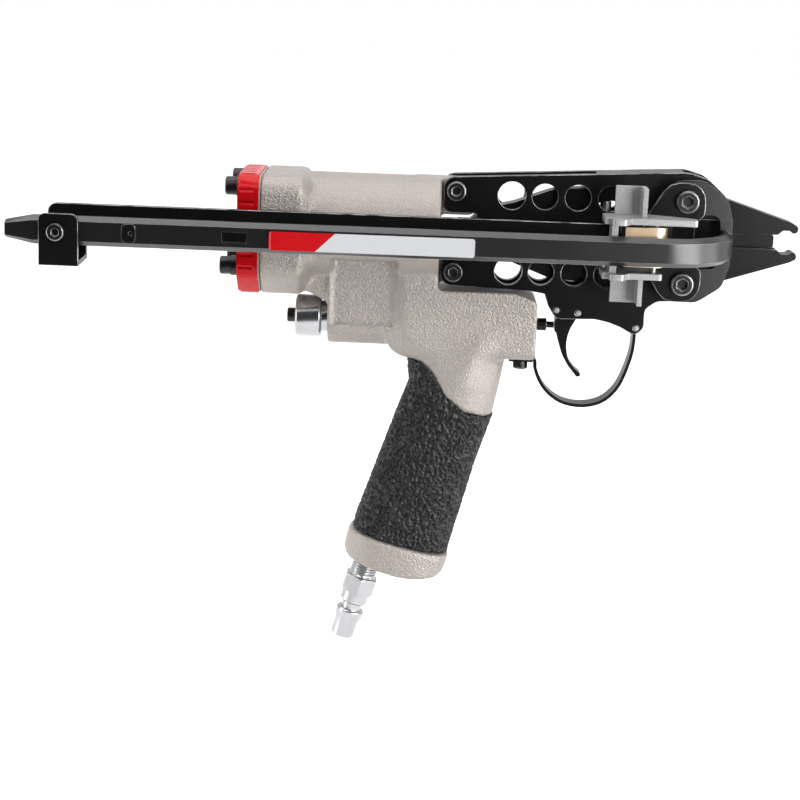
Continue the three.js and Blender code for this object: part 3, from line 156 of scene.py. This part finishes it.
def cast_coat():
    coat = Finish("cast_pearl_coat", 0.42, 0.3, Coat_Weight=0.1, Coat_Roughness=0.3)
    sand = coat.noise(per_metre=1500, detail=3, rough=0.65)
    peel = coat.noise(per_metre=1050, distortion=0.5)
    broad = coat.noise(per_metre=38, detail=3)
    shade = coat.blend(coat.ramp(peel, 0.3, 0.7), PEARL_DARK, PEARL)
    coat.feed("Base Color", coat.blend(coat.ramp(broad, 0.3, 0.75) * 0.3, shade, PEARL_WARM))
    coat.feed("Roughness", 0.34 + sand * 0.18)
    coat.relief(peel + sand * 0.3, depth=0.7 * MM, strength=0.9)
    return coat.material


def alone(piece):
    """Makes the piece the only selected one, and the active one."""
    bpy.ops.object.select_all(action="DESELECT")
    piece.select_set(True)
    bpy.context.view_layer.objects.active = piece


def dress(piece, material):
    """Makes the material the piece's only one."""
    piece.data.materials.clear()
    piece.data.materials.append(material)


MERGE_REACH = 0.002 * MM
FLAT_ANGLE = math.radians(0.5)


def copy_of(node, name, material):
    """Copy of a CAD node that rides and stands for it, merged, with its flat faces made whole again."""
    piece = bpy.data.objects.new(name, frame["nodes"][node].data.copy())
    bpy.context.scene.collection.objects.link(piece)
    alone(piece)
    bpy.ops.object.mode_set(mode="EDIT")
    bpy.ops.mesh.select_all(action="SELECT")
    bpy.ops.mesh.remove_doubles(threshold=MERGE_REACH)
    bpy.ops.mesh.dissolve_limited(angle_limit=FLAT_ANGLE)
    bpy.ops.mesh.quads_convert_to_tris(quad_method="BEAUTY", ngon_method="BEAUTY")
    bpy.ops.object.mode_set(mode="OBJECT")
    dress(piece, material)
    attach(piece, BODY_OF[node])
    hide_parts(node)
    return piece


def change(piece, kind, **settings):
    """Adds one modifier with its settings and applies it."""
    alone(piece)
    modifier = piece.modifiers.new(kind.lower(), kind)
    for label, value in settings.items():
        setattr(modifier, label, value)
    bpy.ops.object.modifier_apply(modifier=modifier.name)


def relax(piece, passes, group=""):
    """Smooths the mesh, or the part of it that a vertex group weighs."""
    change(piece, "SMOOTH", factor=0.5, iterations=passes, vertex_group=group)


def ease(value, low, high):
    """Smooth step from 0 at low to 1 at high."""
    share = min(1.0, max(0.0, (value - low) / (high - low)))
    return share * share * (3 - 2 * share)


CAST_VOXEL = 0.85 * MM
SIDE_OFF, SIDE_FACING = 8 * MM, 0.5
PANEL_X = (43.5 * MM, 73.4 * MM)
PANEL_LOW = -45 * MM
PANEL_HALF = 10.9 * MM
PANEL_STEP = 0.8 * MM
FLUSH_HALF = 13.9 * MM
FLUSH_LOW, FLUSH_HIGH = -54 * MM, -14 * MM
FLUSH_FADE_LOW, FLUSH_FADE_HIGH = 9 * MM, 2 * MM
BLOCK_X, BLOCK_FADE = 83 * MM, 3 * MM
RIDGE_TOP, RIDGE_FOOT = Vector((0.1175, 0, -0.043)), Vector((0.1045, 0, -0.075))
RIDGE_RISE, RIDGE_REACH = 2.6 * MM, 6.5 * MM
RIDGE_START_SHARE, RIDGE_FADE_SHARES = 0.45, (0.75, 1.1)
FILLET_MIDDLE = Vector((0.098, 0, -0.058))
FILLET_SPAN_X, FILLET_SPAN_Z = 26 * MM, 14 * MM
FILLET_FADE_SHARES = (0.6, 1.15)
FILLET_PASSES = 110


def half_width(x, z, half):
    """Half width of the cast body at a place on its side: sunk panel, flush heel and ridge of the handle."""
    if PANEL_X[0] < x < PANEL_X[1] and PANEL_LOW < z < FLUSH_HIGH:
        return min(half, PANEL_HALF)
    held = ease(x, PANEL_X[1], PANEL_X[1] + PANEL_STEP) * (1 - ease(x, BLOCK_X, BLOCK_X + BLOCK_FADE))
    held *= ease(z, FLUSH_LOW, FLUSH_LOW + FLUSH_FADE_LOW)
    held *= 1 - ease(z, FLUSH_HIGH - FLUSH_FADE_HIGH, FLUSH_HIGH)
    half = max(half, half + (FLUSH_HALF - half) * held)
    along = (RIDGE_TOP.z - z) / (RIDGE_TOP.z - RIDGE_FOOT.z)
    away = x - (RIDGE_TOP.x + (RIDGE_FOOT.x - RIDGE_TOP.x) * along)
    swell = math.exp(-(away / RIDGE_REACH) ** 2) * ease(along, 0, RIDGE_START_SHARE)
    return half + RIDGE_RISE * swell * (1 - ease(along, *RIDGE_FADE_SHARES))


casting = copy_of("casting", "cast_body", cast_coat())
change(casting, "REMESH", mode="VOXEL", voxel_size=CAST_VOXEL)
relax(casting, passes=6)
normals = [point.normal.copy() for point in casting.data.vertices]
fillet = casting.vertex_groups.new(name="fillet")
for point, outward in zip(casting.data.vertices, normals):
    if abs(point.co.y) > SIDE_OFF and abs(outward.y) > SIDE_FACING and outward.y * point.co.y > 0:
        point.co.y = math.copysign(half_width(point.co.x, point.co.z, abs(point.co.y)), point.co.y)
    off = point.co - FILLET_MIDDLE
    near = 1 - ease(math.hypot(off.x / FILLET_SPAN_X, off.z / FILLET_SPAN_Z), *FILLET_FADE_SHARES)
    if near > 0 and abs(point.co.y) > SIDE_OFF:
        fillet.add([point.index], near, "REPLACE")
relax(casting, FILLET_PASSES, "fillet")
relax(casting, passes=8)
alone(casting)
bpy.ops.object.shade_smooth()

# Grip sleeve. A rubber sleeve moulded round the handle, with a worm-like grain in its outer skin.
# It fits tightly between the neck's flange and the foot, and nothing else holds it.
GRIP_TOP, GRIP_FOOT = Vector((0.1022, 0, -0.046)), Vector((0.0770, 0, -0.166))
GRIP_VOXEL = 0.46 * MM
BORE_FACING = -0.2
GRAIN_SEED = 7
GRAIN_PER_METRE = 540
GRAIN_DEPTH = 1.15 * MM
BEND_SCALE, BEND_REACH = 0.6, 0.7
CREST_SHARPNESS = 2.9
BORE_SHARE, BORE_WEIGHT = 0.56, 10


def worm(point):
    """Height of the moulded grain at a place, from 0 in its furrows to 1 on its crests."""
    at = point * GRAIN_PER_METRE
    bent = at + noise.noise_vector(at * BEND_SCALE) * BEND_REACH
    return max(0.0, 1 - abs(noise.noise(bent)) * CREST_SHARPNESS)


def grip_rubber():
    rubber = Finish("grip_rubber", 0.42, Specular_IOR_Level=0.27)
    fine = rubber.noise(per_metre=2400, detail=3)
    crest = rubber.node("ShaderNodeAttribute", "Fac", attribute_name="crest")
    # Painted shade and highlight: the colour is near black in the furrows as painted shade, and lighter on
    # the crests as a painted highlight.
    rubber.feed("Base Color", rubber.blend(crest, (0.0008, 0.0008, 0.001, 1), (0.028, 0.028, 0.029, 1)))
    rubber.feed("Roughness", 0.55 - crest * 0.34 + fine * 0.06)
    rubber.relief(fine, depth=0.08 * MM, strength=0.6)
    return rubber.material


rubber = grip_rubber()
sleeve = copy_of("grip_sleeve", "rubber_sleeve", rubber)
change(sleeve, "REMESH", mode="VOXEL", voxel_size=GRIP_VOXEL)
relax(sleeve, passes=4)
normals = [point.normal.copy() for point in sleeve.data.vertices]
bore = sleeve.vertex_groups.new(name="bore")
crests = [0.0] * len(normals)
noise.seed_set(GRAIN_SEED)
for point, outward in zip(sleeve.data.vertices, normals):
    down = (GRIP_TOP.z - point.co.z) / (GRIP_TOP.z - GRIP_FOOT.z)
    radial = point.co - GRIP_TOP.lerp(GRIP_FOOT, down)
    if outward.dot(radial.normalized()) < BORE_FACING:
        bore.add([point.index], 1.0, "REPLACE")
    else:
        crests[point.index] = worm(point.co)
        point.co += outward * (crests[point.index] - 0.5) * GRAIN_DEPTH
# The crest height is kept for the rubber's colour, which paints shade into the furrows and a highlight onto
# the crests.
sleeve.data.attributes.new("crest", "FLOAT", "POINT").data.foreach_set("value", crests)
change(sleeve, "DECIMATE", ratio=BORE_SHARE, vertex_group="bore", vertex_group_factor=BORE_WEIGHT)
alone(sleeve)
bpy.ops.object.shade_smooth()

# Air plug. The quick-connect nipple is turned steel, plated with bright nickel.
# Its pipe thread screws into the foot of the handle.
EDGE_ANGLE = math.radians(30)
SMOOTH_ANGLE = math.radians(40)
FACE_WEIGHT = 60
TURNED_ROUND = 0.2 * MM


def soften(piece, width, steps=2, edge=None):
    """Rounded edges, with normals that keep the flat faces flat, and worn bare where edge is given."""
    if edge:
        piece.data.materials.append(edge)
    change(piece, "BEVEL", width=width, segments=steps, limit_method="ANGLE", angle_limit=EDGE_ANGLE,
           use_clamp_overlap=True, miter_outer="MITER_SHARP", material=1 if edge else -1)
    bpy.ops.object.shade_smooth_by_angle(angle=SMOOTH_ANGLE)
    change(piece, "WEIGHTED_NORMAL", keep_sharp=True, weight=FACE_WEIGHT)


def bright_nickel():
    nickel = Finish("bright_nickel", 0.3, 0.95)
    turning = nickel.noise(per_metre=260, detail=3, squeeze=(1, 1, 9))
    haze = nickel.noise(per_metre=120, detail=3)
    nickel.feed("Base Color", nickel.blend(haze, (0.36, 0.36, 0.368, 1), (0.48, 0.48, 0.492, 1)))
    nickel.feed("Roughness", 0.14 + turning * 0.18)
    nickel.relief(turning, depth=0.05 * MM, strength=0.4)
    return nickel.material


nickel = bright_nickel()
soften(copy_of("air_plug", "plug_nipple", nickel), TURNED_ROUND)

# Exhaust knob. A turned cap, nickel plated as the plug is, under the rear end of the barrel.
# One steel socket screw in black oxide holds it to the casting.


def black_oxide():
    oxide = Finish("black_oxide", 0.34, Specular_IOR_Level=0.35)
    grain = oxide.noise(per_metre=2200, detail=3)
    stain = oxide.noise(per_metre=180, detail=3)
    oxide.feed("Base Color", oxide.blend(stain, (0.004, 0.004, 0.0045, 1), (0.012, 0.0115, 0.012, 1)))
    oxide.feed("Roughness", 0.24 + grain * 0.2)
    oxide.relief(grain, depth=0.06 * MM, strength=0.5)
    return oxide.material


oxide = black_oxide()
soften(copy_of("exhaust_cap", "exhaust_knob", nickel), TURNED_ROUND)
soften(copy_of("exhaust_screw", "knob_screw", oxide), TURNED_ROUND)

# Valve. A brass sleeve and end plug lie in the casting with a steel spring, and guide the
# black pin that the trigger presses. Only the tip of the pin shows.
COATED_ROUND = 0.34 * MM


def clean_brass():
    brass = Finish("clean_brass", 0.3, 0.65)
    bands = brass.noise(per_metre=160, squeeze=(1, 1, 0.3))
    brass.feed("Base Color", brass.blend(bands, (0.84, 0.62, 0.41, 1), (0.88, 0.67, 0.46, 1)))
    brass.feed("Roughness", 0.26 + bands * 0.06)
    return brass.material


def brushed_steel():
    steel = Finish("brushed_steel", 0.42, 0.7)
    lines = steel.noise(per_metre=240, detail=4, squeeze=(1, 9, 9))
    haze = steel.noise(per_metre=1500, detail=3)
    shade = lines * 0.6 + haze * 0.4
    steel.feed("Base Color", steel.blend(shade, (0.20, 0.20, 0.204, 1), (0.42, 0.42, 0.425, 1)))
    steel.feed("Roughness", 0.34 + lines * 0.22)
    steel.relief(lines + haze * 0.6, depth=0.1 * MM, strength=0.6)
    return steel.material


def black_coat(name, shine):
    coat = Finish(name, 0.3, Specular_IOR_Level=shine)
    grain = coat.noise(per_metre=1700, detail=3, rough=0.6)
    broad = coat.noise(per_metre=35)
    coat.feed("Base Color", coat.blend(broad, (0.0045, 0.0045, 0.005, 1), (0.0085, 0.0083, 0.0088, 1)))
    coat.feed("Roughness", 0.22 + grain * 0.12 + broad * 0.06)
    coat.relief(grain, depth=0.05 * MM, strength=0.5)
    return coat.material


def worn_edge():
    worn = Finish("worn_black_edge", 0.3, 0.6)
    rubbed = worn.noise(per_metre=160, detail=3)
    bare = worn.ramp(rubbed, 0.35, 0.65)
    worn.feed("Base Color", worn.blend(bare, (0.05, 0.05, 0.052, 1), (0.40, 0.40, 0.41, 1)))
    worn.feed("Roughness", 0.2 + rubbed * 0.25)
    return worn.material


def copies(names, material, width, edge=None):
    """Rounded copies of CAD nodes, from a table of each node and its piece's name."""
    for node, name in names.items():
        soften(copy_of(node, name, material), width, edge=edge)


brass, steel = clean_brass(), brushed_steel()
black, worn = black_coat("satin_black_coat", shine=0.17), worn_edge()
for node, material in (("valve_sleeve", brass), ("valve_end_plug", brass), ("valve_spring", steel)):
    dress(frame["nodes"][node], material)
copies({"valve_stem": "valve_pin"}, black, COATED_ROUND, worn)

# Driver. A steel piston with a rubber ring, its rod, nut and head, inside the cylinder.
# A brass bush in the front wall guides the rod, and a spring brings it back.
for node in ("piston", "piston_rod", "piston_nut", "driver_head", "return_spring"):
    dress(frame["nodes"][node], steel)
dress(frame["nodes"]["piston_ring"], rubber)
dress(frame["nodes"]["rod_bush"], brass)

# Rear cap. A machined aluminium block in gloss red enamel, with ribs milled round its edge.
# A thin fibre gasket seals it to the casting, and the cap screws hold both.
CAP_ROUND = 0.35 * MM
GASKET_ROUND = 0.08 * MM


def red_enamel():
    enamel = Finish("red_enamel", 0.22, Specular_IOR_Level=0.14, Coat_Weight=0.06, Coat_Roughness=0.06)
    peel = enamel.noise(per_metre=380)
    broad = enamel.ramp(enamel.noise(per_metre=70), 0.3, 0.7)
    enamel.feed("Base Color", enamel.blend(broad, (0.66, 0.001, 0.006, 1), (0.72, 0.002, 0.009, 1)))
    enamel.feed("Roughness", 0.16 + peel * 0.12)
    enamel.relief(peel, depth=0.12 * MM, strength=0.5)
    return enamel.material


def gasket_fibre():
    fibre = Finish("fibre_gasket", 0.85)
    threads = fibre.noise(per_metre=900, detail=4, rough=0.7)
    fibre.feed("Base Color", fibre.blend(threads, (0.5, 0.46, 0.4, 1), (0.72, 0.69, 0.63, 1)))
    fibre.relief(threads, depth=0.1 * MM, strength=0.6)
    return fibre.material


soften(copy_of("rear_cap", "red_cap", red_enamel()), CAP_ROUND)
soften(copy_of("rear_gasket", "cap_gasket", gasket_fibre()), GASKET_ROUND, steps=1)

# Cap screws. Four steel socket screws in black oxide, each on a plain washer.
# They go through the rear cap and its gasket into the casting.
CAP_SCREWS = 4
SCREW_ROUND = 0.25 * MM
WASHER_ROUND = 0.15 * MM

for corner in range(1, CAP_SCREWS + 1):
    soften(copy_of(f"cap_washer_{corner}", f"washer_{corner}", oxide), WASHER_ROUND)
    soften(copy_of(f"cap_screw_{corner}", f"socket_screw_{corner}", oxide), SCREW_ROUND)

# Side plates. Two laser-cut steel plates with lightening holes, satin black and worn bright
# along their edges. The rear screws and nuts clamp them, with the bridge between, to the casting.


def bolts(*nodes):
    """Screws and nuts in black oxide, with the bright rims of used ones."""
    copies({node: "black_" + node for node in nodes}, oxide, SCREW_ROUND, worn)


copies({"near_side_plate": "near_plate", "far_side_plate": "far_plate", "top_bridge": "bridge_plate"},
       black, COATED_ROUND, worn)
bolts("rear_screw_upper", "rear_screw_lower", "rear_nut_upper", "rear_nut_lower")

# Jaws. Two hardened steel jaws in the same black, with the ring guide between them.
# They turn on the jaw screws between the plates, and a steel spring draws their tails together.
copies({"upper_jaw": "top_jaw", "lower_jaw": "bottom_jaw", "ring_guide": "ring_blade"},
       black, COATED_ROUND, worn)
copies({"ring_guide_pin": "pin_blade"}, steel, TURNED_ROUND)
bolts("jaw_screw_upper", "jaw_screw_lower", "jaw_nut_upper", "jaw_nut_lower")
dress(frame["nodes"]["jaw_spring"], steel)

# Trigger. The trigger and the hoop that guards it are formed steel in the same black.
# Bright steel pins hold them in the plates, and one screw holds the hoop to the casting.
copies({"trigger": "finger_trigger", "trigger_guard": "guard_hoop"}, black, COATED_ROUND, worn)
copies({"trigger_pin": "pin_trigger", "stop_pin": "pin_stop", "guard_pin": "pin_guard"},
       steel, TURNED_ROUND)
bolts("guard_screw")

# Magazine. The rail is a steel channel with a glossier black coat, turned in at the nose.
# A strip backs it, its catch locks it, and a folded bracket with a spacer and a screw
# carries its rear end.
RAIL_ROUND = 0.42 * MM
RAIL_SHINE = 0.6

rail_black = black_coat("rail_black_coat", RAIL_SHINE)
copies({"magazine_rail": "ring_rail"}, rail_black, RAIL_ROUND, worn)
copies({"magazine_strip": "back_strip", "rear_bracket": "folded_bracket", "magazine_catch": "rail_catch"},
       black, COATED_ROUND, worn)
copies({"bracket_spacer": "spacer_tube"}, steel, TURNED_ROUND)
bolts("bracket_screw")

# Label. Two thin aluminium plates, printed red at the rear and white to the front.
# They are glued to the outer face of the rail, and meet in a slant.
RAIL_FACE_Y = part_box("magazine_rail")[0][1]
LABEL_X = (16.7 * MM, 108 * MM)
LABEL_Z = (-5.6 * MM, 2.8 * MM)
LABEL_DEPTH = 0.2 * MM
LABEL_ROUND = 1.2 * MM
LABEL_ROUND_STEPS = 5
SEAM_FOOT, SEAM_HEAD = 20.3 * MM, 29 * MM
SEAM_GAP = LABEL_DEPTH


def printed(name, dark, light):
    ink = Finish(name, 0.3, Specular_IOR_Level=0.2)
    grain = ink.noise(per_metre=900)
    ink.feed("Base Color", ink.blend(grain, dark, light))
    ink.feed("Roughness", 0.24 + grain * 0.12)
    ink.relief(grain, depth=0.02 * MM, strength=0.4)
    return ink.material


def label_field(name, seam_x, end_x, material):
    """One field of the label, from its slanted seam (foot, head) to its end with two round corners."""
    bpy.ops.object.select_all(action="DESELECT")
    bpy.ops.mesh.primitive_cube_add(size=1)
    field = bpy.context.active_object
    field.name = name
    for point in field.data.vertices:
        upper = point.co.z > 0
        at_end = point.co.x * (end_x - seam_x[0]) > 0
        depth = LABEL_DEPTH if point.co.y < 0 else 0
        point.co = (end_x if at_end else seam_x[upper], RAIL_FACE_Y - depth, LABEL_Z[upper])
    for item in list(field.data.vertices) + list(field.data.polygons):
        item.select = False
    for edge in field.data.edges:
        first, last = (field.data.vertices[index].co for index in edge.vertices)
        edge.select = abs(first.y - last.y) > LABEL_DEPTH / 2 and abs(first.x - end_x) < LABEL_DEPTH
    bpy.ops.object.mode_set(mode="EDIT")
    bpy.ops.mesh.select_mode(type="EDGE")
    bpy.ops.mesh.bevel(offset=LABEL_ROUND, segments=LABEL_ROUND_STEPS, affect="EDGES")
    bpy.ops.object.mode_set(mode="OBJECT")
    dress(field, material)
    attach(field, BODY_OF["magazine_rail"])


seam_x = (LABEL_X[0] + SEAM_FOOT, LABEL_X[0] + SEAM_HEAD)
label_field("label_red", seam_x, LABEL_X[0],
            printed("label_red_ink", (0.74, 0.004, 0.010, 1), (0.80, 0.006, 0.013, 1)))
label_field("label_white", [x + SEAM_GAP for x in seam_x], LABEL_X[1],
            printed("label_white_ink", (0.84, 0.85, 0.88, 1), (0.90, 0.91, 0.93, 1)))

# Feed pusher. The carriage is folded steel, brushed and left bright, and slides along the rail.
# A pin in it carries the roller of the feed coil.
copies({"feed_pusher": "feed_carriage", "coil_drum": "coil_roller", "coil_pin": "pin_coil"},
       steel, TURNED_ROUND)

# Feed coil. A thin band of spring brass, rolled on the carriage's roller.
# It pulls the carriage, and the rings in front of it, to the nose.
BAND_ROUND = 0.06 * MM

soften(copy_of("feed_coil", "brass_coil", brass), BAND_ROUND, steps=1)

# Studio. A white paper floor under the tool, and a white world round it. Both are plain white
# to the rays that see them, from the camera, gloss or a clear piece, and dim to those that light the tool.
FLOOR_DROP = 80 * MM
FLOOR_SIZE = 12
FLOOR_GLOW = 0.85
WORLD_GLOW = 0.24
NORTH_GLOW, ZENITH_GLOW, SIDE_GLOW = 0.06, 0.08, 0.1


def seeing_rays(tree):
    """1 for the rays that see the studio, and 0 for those that light the tool."""
    rays = tree.nodes.new("ShaderNodeLightPath").outputs
    camera_ray, glossy_ray, clear_ray = (
        Flow(tree, rays[kind]) for kind in ("Is Camera Ray", "Is Glossy Ray", "Is Transmission Ray"))
    return camera_ray + glossy_ray + clear_ray


floor_z = cad_box[0][2] - FLOOR_DROP
bpy.ops.mesh.primitive_plane_add(size=FLOOR_SIZE, location=(0, 0, floor_z))
floor = bpy.context.active_object
floor.name = "studio_floor"
paper = Finish("studio_paper", 0.9)
paper.feed("Base Color", paper.blend(paper.noise(per_metre=3), (0.9, 0.9, 0.9, 1), (0.92, 0.92, 0.92, 1)))
paper.feed("Emission Color", paper.blend(seeing_rays(paper.tree), (0, 0, 0, 1), (1, 1, 1, 1)))
paper.feed("Emission Strength", FLOOR_GLOW)
dress(floor, paper.material)

world = bpy.data.worlds.new("studio_world")
bpy.context.scene.world = world
world.use_nodes = True
tree = world.node_tree
back = tree.nodes["Background"]
back.inputs["Color"].default_value = (1, 1, 1, 1)
heading = tree.nodes.new("ShaderNodeSeparateXYZ")
tree.links.new(tree.nodes.new("ShaderNodeTexCoord").outputs["Generated"], heading.inputs[0])
east, north, zenith = (Flow(tree, socket) for socket in heading.outputs)
glow = WORLD_GLOW + north * NORTH_GLOW + zenith * ZENITH_GLOW + abs(east) * SIDE_GLOW
seen = seeing_rays(tree)
fill(back.inputs["Strength"], seen + (1 - seen) * glow)

# Cove. A sweep of black velvet, from the floor under the camera up behind it and over the tool.
# Only reflections see it. It keeps polished and black faces dark, as they are in the photograph.
COVE_X, COVE_HALF = 50 * MM, 1.2
COVE_LIFT = 1 * MM
COVE_YZ = ((-0.55, floor_z + COVE_LIFT), (-1.3, floor_z + COVE_LIFT), (-1.6, floor_z + 0.3), (-1.6, 0.9),
           (-1.1, 1.5), (-0.1, 1.7))

bpy.ops.object.select_all(action="DESELECT")
bpy.ops.mesh.primitive_grid_add(x_subdivisions=1, y_subdivisions=len(COVE_YZ) - 1, size=1)
cove = bpy.context.active_object
cove.name = "black_cove"
for point in cove.data.vertices:
    row = round((0.5 - point.co.y) * (len(COVE_YZ) - 1))
    point.co = (COVE_X + math.copysign(COVE_HALF, point.co.x), *COVE_YZ[row])
velvet = Finish("black_velvet", 1.0)
pile = velvet.noise(per_metre=40)
velvet.feed("Base Color", velvet.blend(pile, (0.002, 0.002, 0.002, 1), (0.004, 0.004, 0.004, 1)))
dress(cove, velvet.material)
cove.visible_camera = cove.visible_diffuse = cove.visible_shadow = cove.visible_transmission = False

# Lamps. Four soft boxes light the tool from above, the front and both sides.
# Two strips add only the long highlights on its black and bright edges.
LAMPS = {
    "softbox_top": {
        "place": (0.05, 0.2, 1.0), "aim": (0.08, 0, 0), "size": (1.4, 0.4), "radiance": 3.4},
    "softbox_front_top": {
        "place": (-0.1, -0.8, 0.8), "aim": (0.08, 0, -0.02), "size": (1.0, 0.4), "radiance": 3.2},
    "softbox_left": {
        "place": (-0.92, -0.22, 0.12), "aim": (0.05, 0, -0.05), "size": (0.4, 0.9), "radiance": 4.4},
    "softbox_right": {
        "place": (1.02, -0.16, 0.0), "aim": (0.12, 0, -0.03), "size": (0.4, 0.9), "radiance": 3.6},
    "strip_right": {
        "place": (0.72, -0.66, 0.0), "aim": (0.16, 0, 0), "size": (0.6, 0.8), "radiance": 11,
        "diffuse": False},
    "strip_top": {
        "place": (0.05, -0.25, 0.9), "aim": (0.08, 0, 0), "size": (1.6, 0.2), "radiance": 6,
        "diffuse": False},
}


def lamp(name, place, aim, size, radiance, diffuse=True):
    """Soft box of an even brightness. One that is not diffuse shows in reflections alone."""
    light = bpy.data.lights.new(name, "AREA")
    light.shape = "RECTANGLE"
    light.size, light.size_y = size
    light.energy = radiance * math.pi * size[0] * size[1]
    holder = bpy.data.objects.new(name, light)
    bpy.context.scene.collection.objects.link(holder)
    holder.location = place
    holder.rotation_euler = (Vector(aim) - Vector(place)).to_track_quat("-Z", "Y").to_euler()
    holder.visible_camera = False
    holder.visible_diffuse = diffuse


for name, settings in LAMPS.items():
    lamp(name, **settings)

# Camera. It stands where the photograph was taken, a little above the tool, which it looks
# down on with a long lens and a slight roll.
LENS, SENSOR_WIDTH = 85, 36
CAMERA_PLACE = (0.0833, -0.8784, 0.1261)
PITCH, YAW, ROLL = math.radians(13.41), math.radians(0.41), math.radians(2.143)

camera = bpy.data.objects.new("camera", bpy.data.cameras.new("camera"))
bpy.context.scene.collection.objects.link(camera)
camera.data.lens = LENS
camera.data.sensor_width = SENSOR_WIDTH
ahead = Vector((-math.sin(YAW) * math.cos(PITCH), math.cos(YAW) * math.cos(PITCH), -math.sin(PITCH)))
level_right = Vector((math.cos(YAW), math.sin(YAW), 0))
upright = level_right.cross(ahead)
right = level_right * math.cos(ROLL) + upright * math.sin(ROLL)
up = upright * math.cos(ROLL) - level_right * math.sin(ROLL)
turn = Matrix((right, up, -ahead)).transposed().to_4x4()
camera.matrix_world = Matrix.Translation(CAMERA_PLACE) @ turn
bpy.context.scene.camera = camera
bpy.context.scene.view_settings.view_transform = "Standard"
